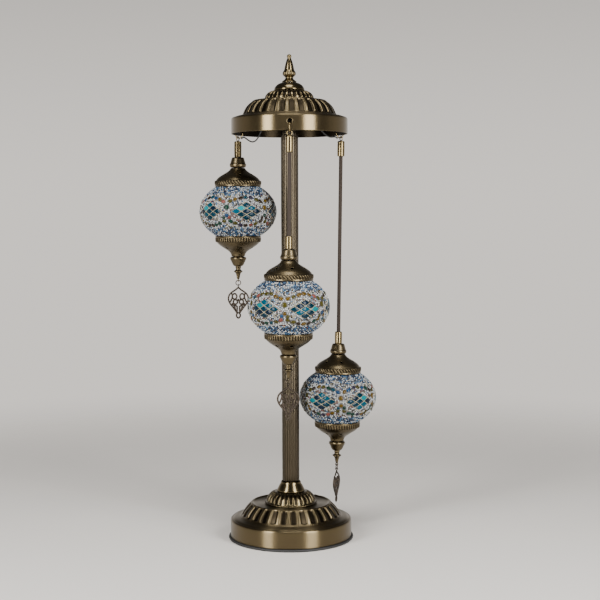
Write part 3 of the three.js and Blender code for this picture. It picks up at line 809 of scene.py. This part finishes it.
# rope: lower and upper height, strokes, slant, rise; vent: the height of the holes
capShapes = {
    "top_cap": {
        "section": [(34.4, 38), (35.6, 38.2), (36, 39.6), (35.4, 40.8), (35, 41.4), (35.4, 44),
                    (35.2, 46.4), (34.6, 47.6), (33.9, 47.9), (32.6, 50.2), (29.2, 53.4), (23.4, 57),
                    (17.4, 60.4), (13.4, 63.4), (11.6, 65.8), (11, 67.2), (4.6, 67.3)],
        "rope": (40.8, 47.4, 46, 0.9, 1.1), "vent": 56.2},
    "bottom_cap": {
        "section": [(4.6, -70.3), (10.2, -70.4), (10.8, -68), (11.6, -65), (14.8, -61.4), (20.6, -57.8),
                    (27.6, -53.4), (31.8, -49.6), (33.6, -47.6), (34.4, -46.6), (34.6, -44),
                    (34.8, -41.2), (35.4, -40.4), (35.8, -39), (35, -38)],
        "rope": (-47.6, -40.4, 52, 0.15, 1.0), "vent": -56.6},
}


# both caps of a globe: a stamping with a rope band and a ring of vent holes
def addCaps(v):
    for side in sides:
        for name, s in capShapes.items():
            hole = {"height": s["vent"], "radius": v["radius"]}
            vents = [holeAt(s, hole, 360 * (k + 0.5) / v["count"]) for k in range(v["count"])]
            relief = lambda theta, at, r, z: ropeBand(theta, z, *s["rope"])
            points, faces, values = turnedShell(s["section"], around=312, step=0.62, wall=0.7, relief=relief,
                                                holes=vents)
            makePiece(f"{label(name)}_{side}", hangPoints(points, side, v["turn"]), faces, capBrass,
                      f"pendant_{side}", (f"{name}_{side}",), values)


cupShapes = {
    "bell_cup": [(4.3, 67.7), (11, 67.7), (12.4, 69), (12.9, 71.2), (12.8, 73), (11.8, 74.4), (11.4, 76),
                 (10.4, 79.4), (9.9, 81.6), (9, 83.2), (7.6, 83.6), (4.3, 83.6)],
    "finial_cup": [(4.3, -85.2), (5.4, -85.2), (7.6, -84), (8.8, -82), (10.2, -79), (11.6, -76),
                   (12.5, -74.4), (12.8, -72.6), (12, -70.9), (10.8, -70.7), (4.3, -70.7)],
}
dropShape = [(0, -106), (1.3, -105.6), (2.4, -103.6), (3, -99), (3.9, -96.4), (5, -95), (7.1, -93.6),
             (6.6, -92.4), (4.2, -91), (3.6, -89.4), (4.4, -87.2), (4.6, -86.2), (4, -85.4), (3.9, -80),
             (3.9, -64.2), (0, -64.1)]


dropEye = {"radius": 2.05, "wire": 0.62, "height": -107.2}


# the cups over and under the caps, and the drop finial with its cross eye
def addCups(e):
    for side in sides:
        for name, section in cupShapes.items():
            points, faces, values = turnedRing(section, around=72, step=0.5)
            makePiece(f"{label(name)}_{side}", hangPoints(points, side), faces, capBrass, f"pendant_{side}",
                      (f"{name}_{side}",), values)
        turn = hang[side]["charmTurn"]
        stem = turnedSolid(dropShape, around=60, step=0.5)
        eye = ringWire(e["radius"], e["radius"], e["wire"], (0, 0, e["height"]), "yz")
        points, faces, values = mergeParts([stem, eye])
        makePiece(f"dropFinial_{side}", hangPoints(points, side, turn), faces, capBrass, f"pendant_{side}",
                  (f"drop_finial_{side}",), values)


# an ellipse of wire in the xz or yz plane
def ringWire(halfAcross, halfUp, wire, centre, plane, steps=40, around=12):
    a = angles(steps)[:, 0]
    across, up = halfAcross * np.cos(a), halfUp * np.sin(a)
    flat = np.zeros(steps)
    path = np.stack([across, flat, up] if plane == "xz" else [flat, across, up], 1) + np.array(centre)
    reference = (0, 1, 0) if plane == "xz" else (1, 0, 0)
    return tubeAlong(path, around, wire, reference, loop=True)


# heights count from the hook's ring, but cupTop's and the lower ferrule's from the globe's centre
ferruleShape = {
    "radius": 5.7, "top": -4.6, "bottom": -28.5, "cordHole": 3.3, "eye": 3.7, "wire": 0.8, "eyeTop": 2.7,
    "cupTop": 83.9, "nippleHole": 4.3, "knurlDepth": 0.22, "knurlRate": 2.9, "knurlFrom": 5,
    "lower": [(4.3, 83.9), (5.4, 83.9), (5.7, 84.5), (5.7, 100.6), (5.3, 102), (4.6, 102.4), (3.3, 102.4),
              (3.3, 97), (4.3, 92.6)],
}


# a sleeve with a wire eye on top; the left one, which has no cord, reaches the cup and is knurled by
# a wave along its height
def addFerrules(s):
    def knurl(theta, at, r, z):
        wave = np.sin(z * s["knurlRate"])
        return s["knurlDepth"] * wave * (r > s["knurlFrom"]), 0.5 - 0.5 * wave
    top, radius = s["top"], s["radius"]
    for side in sides:
        h = hang[side]
        bottom = s["bottom"] if h["corded"] else s["cupTop"] - h["drop"]
        hole = s["cordHole"] if h["corded"] else s["nippleHole"]
        section = [(hole, bottom), (radius - 0.5, bottom), (radius, bottom + 0.6), (radius, top - 5),
                   (radius - 0.4, top - 4), (radius, top - 3.4), (radius, top - 1.6),
                   (radius - 0.8, top - 0.4),
                   (2.4, top), (1, top - 0.6), (1, bottom + 8), (hole, bottom + 7.6)]
        shell = turnedRing(section, around=56, step=0.45, relief=None if h["corded"] else knurl)
        eye = ringWire(s["eye"], s["eye"], s["wire"], (0, 0, s["eyeTop"] - s["eye"]), "yz")
        points, faces, values = mergeParts([shell, eye])
        makePiece(f"eyeFerrule_{side}", hangPoints(points, side, h["azimuth"], fromGlobe=False), faces,
                  fittingBrass, f"pendant_{side}", (f"eye_ferrule_{side}",), values)
        if h["corded"]:
            points, faces, values = turnedRing(s["lower"], around=56, step=0.45)
            makePiece(f"lowerFerrule_{side}", hangPoints(points, side), faces, fittingBrass,
                      f"pendant_{side}", (f"lower_ferrule_{side}",), values)


linkShape = {"across": 6.4, "up": 7.2, "wire": 1.0, "inset": 1.9}


# an oval ring of wire through each hole of the canopy band, standing in the plane of the lamp's axis
def addLinks(s):
    centre = (hangRing["radius"] - s["inset"], 0, hangRing["height"] + s["up"])
    for side in sides:
        a = np.radians(hang[side]["azimuth"])
        points, faces = ringWire(s["across"], s["up"], s["wire"], centre, "xz", steps=48)
        turned = points @ np.array([[np.cos(a), np.sin(a), 0], [-np.sin(a), np.cos(a), 0], [0, 0, 1]])
        makePiece(f"hookLink_{side}", turned, faces, fittingBrass, f"link_{side}", (f"hook_link_{side}",),
                  np.zeros(len(points)))


# half of a charm's filigree, in mm across and above the globe's centre; flat is its depth to its width
charmShape = {
    "wire": 1.3, "flat": 0.8, "split": (3.8, 0.7, -111), "eye": (1.95, 0.6, -114.8),
    "tip": [(0, -156.6), (3.9, -162), (0, -167.4), (-3.9, -162)],
    "boss": [(0, -2), (1.3, -1.7), (2, 0), (1.3, 1.7), (0, 2)], "bossHeight": -137.8, "bossFlat": 0.5,
    "neck": (-116.6, -119.8), "neckWire": 1.05,
}
charmFrame = [(0, -118.4), (1.9, -119.8), (4.1, -122), (9.8, -125.4), (14, -129.4), (15.6, -134.4),
              (15.2, -139), (12.8, -144), (8.6, -149), (4.9, -154), (2.2, -158)]
charmArcs = [
    [(10.4, -127.8), (9.2, -131), (9.6, -134.4), (11.2, -138), (12.6, -141.6)],
    [(8.6, -142), (6.6, -145), (3.4, -146.8), (2, -149)],
    [(10.6, -143.4), (8, -145.4), (6, -147.6), (5, -151.4), (4.4, -154.6)],
    [(2, -147), (1.9, -152), (2.2, -157.6)],
]
charmLoops = [(5.9, -132.4, 3.5, 4.3), (4.7, -140.9, 3.2, 3.5)]


# a circle of wire in the xz or yz plane, from its radius, its wire's radius and its height
def smallRing(size, plane, steps):
    radius, wire, height = size
    return ringWire(radius, radius, wire, (0, 0, height), plane, steps)


# wires bent in one plane and drawn once for each hand
def addCharms(s):
    def wireOf(line, loop):
        flat = np.array(line, float)
        bent = np.stack([flat[:, 0], 0 * flat[:, 0], flat[:, 1]], 1)
        path, _ = evenSteps(roundCorners(bent, 1 if loop else 3, loop), 0.6, loop)
        return tubeAlong(path, 10, s["wire"], (0, 1, 0), loop, s["flat"])
    parts = []
    for hand in (-1, 1):
        parts += [wireOf([(hand * x, z) for x, z in line], False) for line in [charmFrame, *charmArcs]]
        parts += [ringWire(w, h, s["wire"], (hand * x, 0, z), "xz", 32, 10) for x, z, w, h in charmLoops]
    parts.append(wireOf(s["tip"], True))
    boss = turnedSolid(s["boss"], around=24, step=0.5)
    bossPoints = boss[0] * np.array([1, s["bossFlat"], 1]) + np.array([0, 0, s["bossHeight"]])
    parts.append((bossPoints, *boss[1:]))
    neck = np.stack([np.zeros(8), np.zeros(8), np.linspace(*s["neck"], 8)], 1)
    parts.append(tubeAlong(neck, 12, s["neckWire"]))
    parts.append(smallRing(s["eye"], "yz", 32))
    points, faces, values = mergeParts(parts)
    ring, ringFaces = smallRing(s["split"], "xz", 40)
    for side in sides:
        turn = hang[side]["charmTurn"]
        makePiece(f"filigreeCharm_{side}", hangPoints(points, side, turn), faces, charmBrass, f"drop_{side}",
                  (f"charm_{side}",), values)
        makePiece(f"splitRing_{side}", hangPoints(ring, side, turn), ringFaces, charmBrass, f"drop_{side}",
                  (f"charm_ring_{side}",), np.zeros(len(ring)))


addCaps(ventHoles)
addCups(dropEye)
addFerrules(ferruleShape)
addLinks(linkShape)
addCharms(charmShape)
print("pendant metal made")


# a globe is an ellipse of two half axes turned about Z; places on it are an angle and an arc length
globeShape = {"across": 59.0, "rise": 45.3, "reach": 38.0, "neck": 32.6, "lip": 41, "wall": 3.0}
paints = {
    "white": (0.5, 0.5, 0.485), "cream": (0.4, 0.345, 0.22), "pale": (0.06, 0.15, 0.26),
    "blue": (0.006, 0.035, 0.09), "deep": (0.003, 0.008, 0.03), "rose": (0.15, 0.04, 0.028),
    "amber": (0.085, 0.047, 0.004), "olive": (0.046, 0.038, 0.004), "brown": (0.018, 0.01, 0.005),
    "green": (0.003, 0.026, 0.015), "teal": (0.002, 0.03, 0.045), "plum": (0.018, 0.013, 0.028),
    "navy": (0.001, 0.01, 0.024), "petrol": (0.0, 0.02, 0.036), "cyan": (0.0, 0.052, 0.082),
    "aqua": (0.0, 0.17, 0.19),
}
diamond = {
    "count": 6, "halfWidth": 24, "halfHeight": 14.1, "fill": 0.85, "bedHeight": 0.6, "tileHeight": 1.15,
    "crown": -0.27, "clear": (1.9, 1.25), "edge": (1.9, 1.2),
    "shades": ["navy", "petrol", "petrol", "navy", "petrol", "cyan", "petrol", "cyan", "aqua"],
}
bead = {
    "limit": 47.5, "spacing": 2.45, "row": 2.25, "radius": 1.02, "height": 0.8, "crown": 0.12, "border": 1.5,
    "edgeStep": 2.5, "clear": 1.1, "jitter": (0.22, 0.2), "bandFrom": 27.5, "ragged": 1.6,
    "stoneGap": 1.0, "ringWidth": 2.7, "ringShare": 0.8,
}
# an arch of oval stones over each diamond and a mirrored one under it, then a flower between two
arches = [(-25.5, 15.4), (-17.5, 18.8), (-9, 21.6), (0, 22.8), (9, 21.6), (17.5, 18.8), (25.5, 15.4)]
flower = [(31.1, 6.0, 3.4), (31.1, -6.2, 2.4), (26.4, -9.8, 2.1), (35.8, -9.8, 2.1)]
stone = {"upper": (3.2, 2.3), "lower": (3.1, 2.2), "lean": 0.5, "height": 0.95, "crown": 0.3}
# the share of each paint
stoneMix = {
    "olive": 0.26, "amber": 0.2, "brown": 0.16, "green": 0.12, "teal": 0.08, "plum": 0.06, "blue": 0.06,
    "rose": 0.06,
}
bandMix = {"white": 0.31, "pale": 0.2, "blue": 0.25, "deep": 0.2, "cream": 0.04}
middleMix = {
    "white": 0.4, "cream": 0.14, "pale": 0.08, "blue": 0.09, "rose": 0.06, "amber": 0.04, "olive": 0.05,
    "brown": 0.1, "teal": 0.04,
}
edgeMix = {"white": 0.52, "cream": 0.16, "rose": 0.14, "brown": 0.1, "blue": 0.08}


# a paint drawn for each of so many chips, by its share
def pickPaints(mix, count, rng):
    table = np.array([paints[colour] for colour in mix])
    return table[rng.choice(len(mix), count, p=list(mix.values()))]


# the meridian's arc length s gives the angle on the ellipse by interpolation
def meridian(s):
    a = np.linspace(-1.15, 1.15, 801)
    across, rise = globeShape["across"], globeShape["rise"]
    speed = np.hypot(across * np.sin(a), rise * np.cos(a))
    arc = np.concatenate([[0], np.cumsum((speed[1:] + speed[:-1]) / 2 * np.diff(a))])
    return np.interp(s, arc - arc[400], a)


# the point at angle theta and arc length s, lifted off the ellipse along its normal
def globePoint(theta, s, lift):
    a = meridian(s)
    across, rise = globeShape["across"], globeShape["rise"]
    normal = np.stack([np.cos(a) / across, np.sin(a) / rise])
    normal /= np.linalg.norm(normal, axis=0)
    r = across * np.cos(a) + lift * normal[0]
    z = rise * np.sin(a) + lift * normal[1]
    return np.stack([r * np.cos(theta), r * np.sin(theta), z], -1)


chipEdge = {"sunk": -0.5, "shoulder": 0.6, "top": 0.84}


# chips: a flat outline copied to each place, with a wall, a rounded shoulder and a low crown
def chips(outline, places, sizes, turns, height, crown):
    rings = [(1.0, chipEdge["sunk"]), (1.0, height * chipEdge["shoulder"]), (chipEdge["top"], height)]
    c, n = np.cos(turns)[:, None], np.sin(turns)[:, None]
    levels = []
    for scale, lift in rings:
        u, v = outline[None, :, 0] * sizes[:, :1] * scale, outline[None, :, 1] * sizes[:, 1:] * scale
        across, up = u * c - v * n, u * n + v * c
        radius = globeShape["across"] * np.cos(meridian(places[:, 1]))[:, None]
        levels.append(globePoint(places[:, :1] + across / radius, places[:, 1:] + up, lift))
    top = globePoint(places[:, :1], places[:, 1:], height + crown)
    block = np.concatenate([*levels, top], 1)
    count, k = len(places), len(outline)
    start = (np.arange(count) * (3 * k + 1))[:, None]
    i = np.arange(k)[None, :]
    here, beside = start + i, start + np.roll(i, -1, 1)
    walls = [np.stack([here + m, beside + m, beside + m + k, here + m + k], 2).reshape(-1, 4) for m in (0, k)]
    fan = np.stack([here + 2 * k, beside + 2 * k, start + 3 * k + 0 * i], 2).reshape(-1, 3)
    floor = start + np.arange(k)[::-1][None, :]
    return block.reshape(-1, 3), [*walls, fan, floor]


# a round outline; its cosine and sine are raised to a power, which at 2 makes a diamond
def roundOutline(corners, power=1.0):
    a = np.arange(corners) * 2 * np.pi / corners
    turned = np.stack([np.cos(a), np.sin(a)], 1)
    return np.sign(turned) * np.abs(turned) ** power


# a diamond's nine rhombic tiles, each a third of its size, set along its two edge directions on a
# cream bed; gives the bed and the tiles, each with its chips' colours
def diamondTiles(centre, rng):
    d = diamond
    third = np.array([d["halfWidth"], d["halfHeight"]]) / 3
    grid = np.array([(i + j, i - j) for i in (-1, 0, 1) for j in (-1, 0, 1)], float)
    spots = grid * third / np.array([globeShape["across"], 1]) + np.array([centre, 0])
    same, noTurn = np.ones((9, 2)), np.zeros(9)
    picked = rng.permutation(9)
    colours = np.array([paints[d["shades"][p]] for p in picked]) * rng.uniform(0.8, 1.25, (9, 1))
    bed = chips(roundOutline(20, 2.0) * third, spots, same, noTurn, d["bedHeight"], d["crown"])
    outline = roundOutline(20, 1.8) * third * d["fill"]
    tiles = chips(outline, spots, same, noTurn, d["tileHeight"], d["crown"])
    return [(bed, np.tile(paints["cream"], (9, 1))), (tiles, colours)]


# true where |across| / half width + |up| / half height is below 1 for any diamond grown by a margin
def insideDiamond(theta, s, centres, margin):
    across = globeShape["across"]
    u = (theta[:, None] - centres[None, :] + np.pi) % (2 * np.pi) - np.pi
    wider, taller = diamond["clear"]
    w, h = diamond["halfWidth"] + margin * wider, diamond["halfHeight"] + margin * taller
    return ((np.abs(u) * across / w + np.abs(s)[:, None] / h) < 1).any(1)


# true within reach of any spot, measured on the globe
def nearSpots(theta, s, spots, reach):
    across = globeShape["across"] * np.cos(meridian(s))[:, None]
    u = ((theta[:, None] - spots[None, :, 0] + np.pi) % (2 * np.pi) - np.pi) * across
    return (np.hypot(u, s[:, None] - spots[None, :, 1]) < reach[None, :]).any(1)


# seed beads: even rows of arc length, shifted a little, left out where a larger chip sits
def beadField(centres, spots, reach, rng):
    rows = np.arange(-bead["limit"], bead["limit"], bead["row"])
    radii = globeShape["across"] * np.cos(meridian(rows))
    counts = np.maximum((2 * np.pi * radii / bead["spacing"]).astype(int), 8)
    theta = np.concatenate([(np.arange(n) + rng.uniform()) * 2 * np.pi / n for n in counts])
    s = np.repeat(rows, counts)
    radius = np.repeat(radii, counts)
    aside, up = bead["jitter"]
    theta = theta + rng.normal(0, aside, len(s)) / radius
    s = s + rng.normal(0, up, len(s))
    covered = insideDiamond(theta, s, centres, bead["border"] + bead["clear"])
    free = ~covered & ~nearSpots(theta, s, spots, reach)
    return theta[free], s[free]


# blue bands towards the caps, white between them, with a ragged line where they meet
def paintBeads(s, rng):
    banded = np.abs(s) + rng.normal(0, bead["ragged"], len(s)) > bead["bandFrom"]
    band = pickPaints(bandMix, len(s), rng)
    middle = pickPaints(middleMix, len(s), rng)
    return np.where(banded[:, None], band, middle) * rng.uniform(0.8, 1.15, (len(s), 1))


# positions along a diamond's outline, a fixed way outside it
def diamondBorder(centre):
    wider, taller = diamond["edge"]
    w, h = diamond["halfWidth"] + bead["border"] * wider, diamond["halfHeight"] + bead["border"] * taller
    line, _ = evenSteps(np.array([(w, 0), (0, h), (-w, 0), (0, -h)], float), bead["edgeStep"], loop=True)
    return np.stack([centre + line[:, 0] / globeShape["across"], line[:, 1]], 1)


# the glass itself, dark as painted shade in the grout gaps that show between the chips
def addGlass(side, g):
    a = np.linspace(-1, 1, 41) * np.arcsin(g["reach"] / g["rise"])
    curve = [(g["across"] * np.cos(t), g["rise"] * np.sin(t)) for t in a]
    section = [(g["neck"], -g["lip"]), *curve, (g["neck"], g["lip"])]
    points, faces, values = turnedShell(section, around=128, step=1.6, wall=g["wall"], rounds=0)
    makePiece(f"glassGlobe_{side}", hangPoints(points, side), faces, groutPaintedShade, f"pendant_{side}",
              (f"globe_{side}",), values)


# one angle and arc length for each stone, its two half sizes and its turn
def placeStones(centres, rng):
    lean = stone["lean"]
    layout = [(x, z, *stone["upper"], -lean * np.sign(x)) for x, z in arches]
    layout += [(x, -z, *stone["lower"], lean * np.sign(x)) for x, z in arches]
    layout += [(x, z, size, size, 0) for x, z, size in flower]
    one = np.array(layout)
    stones = np.concatenate([np.c_[c + one[:, 0] / globeShape["across"], one[:, 1:]] for c in centres])
    spots = stones[:, :2] + rng.normal(0, 0.006, (len(stones), 2)) * np.array([1, 60])
    return spots, stones[:, 2:4] * rng.uniform(1.0, 1.2, (len(stones), 1)), stones[:, 4]


# chips of one kind as a piece on a pendant, each chip's colour on all its points
def addChips(name, side, laid, finish):
    points, faces, _ = mergeParts([bundle for bundle, _ in laid])
    tints = [np.repeat(colours, len(bundle[0]) // len(colours), axis=0) for bundle, colours in laid]
    makePiece(f"{name}_{side}", hangPoints(points, side), faces, finish, f"pendant_{side}",
              tints=np.concatenate(tints))


# tiles and stones first, then beads wherever those leave room, mostly white round each stone
def addGlobe(side, seed):
    rng = np.random.default_rng(seed)
    addGlass(side, globeShape)
    first = np.radians(-90 + hang[side]["motif"])
    centres = first + angles(diamond["count"])[:, 0]
    laid = sum([diamondTiles(centre, rng) for centre in centres], [])
    stones, sizes, turns = placeStones(centres, rng)
    colours = pickPaints(stoneMix, len(stones), rng)
    turns = turns + rng.normal(0, 0.25, len(stones))
    bundle = chips(roundOutline(12), stones, sizes, turns, stone["height"], stone["crown"])
    laid.append((bundle, colours * rng.uniform(0.85, 1.2, (len(stones), 1))))
    addChips("cutGlass", side, laid, cutGlass)
    theta, s = beadField(centres, stones, sizes.mean(1) + bead["stoneGap"], rng)
    colours = paintBeads(s, rng)
    near = nearSpots(theta, s, stones, sizes.mean(1) + bead["ringWidth"])
    ringed = near & (rng.uniform(size=len(s)) < bead["ringShare"])
    colours[ringed] = np.array(paints["white"]) * rng.uniform(0.85, 1.15, (ringed.sum(), 1))
    edging = np.concatenate([diamondBorder(c) for c in centres])
    edgeColours = pickPaints(edgeMix, len(edging), rng) * rng.uniform(0.9, 1.15, (len(edging), 1))
    spots = np.concatenate([np.stack([theta, s], 1), edging])
    radius = bead["radius"] * rng.uniform(0.8, 1.1, (len(spots), 1)) * np.ones((1, 2))
    turns = rng.uniform(0, 1, len(spots))
    bundle = chips(roundOutline(6), spots, radius, turns, bead["height"], bead["crown"])
    addChips("seedBeads", side, [(bundle, np.concatenate([colours, edgeColours]))], seedGlass)
    print("globe", side, len(spots), "beads", len(stones), "stones")


for number, side in enumerate(sides):
    addGlobe(side, 11 + number)


# finishes of the nodes inside and underneath, which keep their own shape
hiddenFinishes = {
    "felt_pad": felt, "base_plate": zincSteel, "base_weight": castIron, "rod_nut": zincSteel,
    "stem_rod": zincSteel, "inlet_grommet": rubber, "terminal_block": holderPlastic,
}
for side in sides:
    hiddenFinishes[f"lamp_holder_{side}"] = holderPlastic
    hiddenFinishes[f"bulb_{side}"] = bulbFrost
for name, finish in hiddenFinishes.items():
    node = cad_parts[name]
    node.data.materials.clear()
    node.data.materials.append(finish)


# the room's colours, and the heights and depths of the view's direction between which each comes in
studio = {
    "pale": (0.96, 0.905, 0.84), "high": (0.5, 0.475, 0.445), "ceiling": (0.1, 0.097, 0.092),
    "dim": (0.24, 0.23, 0.216), "highFrom": (0.0, 0.3), "dimTowards": (-0.2, 0.45),
    "dimAbove": (-0.45, -0.2), "ceilingFrom": (0.2, 0.42), "floor": (0.7, 0.665, 0.62), "fade": (0.5, 1.7),
    "floorMargin": 0.4, "floorSides": 96,
}
softboxes = {
    "left": {"angle": -43, "size": (0.48, 1.75), "distance": 1.6, "height": 0.88, "power": 48},
    "right": {"angle": 39, "size": (0.57, 1.75), "distance": 1.6, "height": 0.88, "power": 55},
}
overhead = {"power": 24, "size": (0.9, 0.9), "place": (0, -0.6, 2.2)}


# a rectangle of light at a position, turned to face the aim
def addLight(name, power, size, position, aim):
    data = bpy.data.lights.new(name, "AREA")
    data.shape, data.energy = "RECTANGLE", power
    data.size, data.size_y = size
    light = bpy.data.objects.new(name, data)
    ahead = np.array(aim, float) - np.array(position, float)
    ahead /= np.linalg.norm(ahead)
    right = np.cross(ahead, (0, 0, 1) if abs(ahead[2]) < 0.99 else (0, 1, 0))
    right /= np.linalg.norm(right)
    turn = np.eye(4)
    turn[:3, 0], turn[:3, 1], turn[:3, 2], turn[:3, 3] = right, np.cross(right, ahead), -ahead, position
    light.matrix_world = Matrix(turn.tolist())
    bpy.context.collection.objects.link(light)


# a room that is pale all round and below, and dim above the horizon on the side of the softboxes
def addWorld(s):
    world = bpy.data.worlds.new("studio")
    world.use_nodes = True
    tree = world.node_tree
    start = Wire(tree, None)
    direction = start.make("ShaderNodeTexCoord", None, out=0)
    across = start.make("ShaderNodeSeparateXYZ", None, Vector=direction)
    y = Wire(tree, across.socket.node.outputs[1])
    z = Wire(tree, across.socket.node.outputs[2])
    upper = z.ease(*s["highFrom"]).mix((*s["pale"], 1), (*s["high"], 1))
    front = (0.0 - y).ease(*s["dimTowards"]) * z.ease(*s["dimAbove"])
    tone = z.ease(*s["ceilingFrom"]).mix(front.mix(upper, (*s["dim"], 1)), (*s["ceiling"], 1))
    tree.links.new(tone.socket, tree.nodes["Background"].inputs["Color"])
    bpy.context.scene.world = world


# a pale disc that thins out to nothing, so the room's own pale colour carries on from it
def addFloor(s):
    a = angles(s["floorSides"])[:, 0]
    reach = s["fade"][1] + s["floorMargin"]
    rim = np.stack([reach * np.cos(a), reach * np.sin(a), 0 * a], 1)
    mesh = bpy.data.meshes.new("floor")
    mesh.from_pydata(rim.tolist(), [], [list(range(len(rim)))])
    floor = bpy.data.objects.new("floor", mesh)
    bpy.context.collection.objects.link(floor)
    finish, shader, place = newFinish("paleFloor", Roughness=0.75)
    speck = noise(place, 5, 4)
    tone = np.array(s["floor"])
    shade = ((speck - 0.5) * 0.5 + 0.5).clamp()
    join(shade.mix((*(tone * 0.96), 1), (*(tone * 1.03), 1)), shader, "Base Color")
    distance = place.make("ShaderNodeVectorMath", {"operation": "LENGTH"}, out=1, i0=place)
    thin = distance.ease(*s["fade"])
    clear = place.make("ShaderNodeBsdfTransparent")
    tree = finish.node_tree
    blend = tree.nodes.new("ShaderNodeMixShader")
    tree.links.new(thin.socket, blend.inputs[0])
    tree.links.new(shader.outputs[0], blend.inputs[1])
    tree.links.new(clear.socket, blend.inputs[2])
    tree.links.new(blend.outputs[0], tree.nodes["Material Output"].inputs[0])
    mesh.materials.append(finish)


# two tall softboxes stand on a circle round the lamp, in degrees from the view, and one lies overhead
def addStudio(s):
    addWorld(s)
    addFloor(s)
    for name, b in softboxes.items():
        a = np.radians(b["angle"])
        place = (b["distance"] * np.sin(a), -b["distance"] * np.cos(a), b["height"])
        addLight(f"softbox_{name}", b["power"], b["size"], place, (0, 0, b["height"]))
    addLight("overhead", overhead["power"], overhead["size"], overhead["place"], (0, 0, 0))


addStudio(studio)
print("studio made")
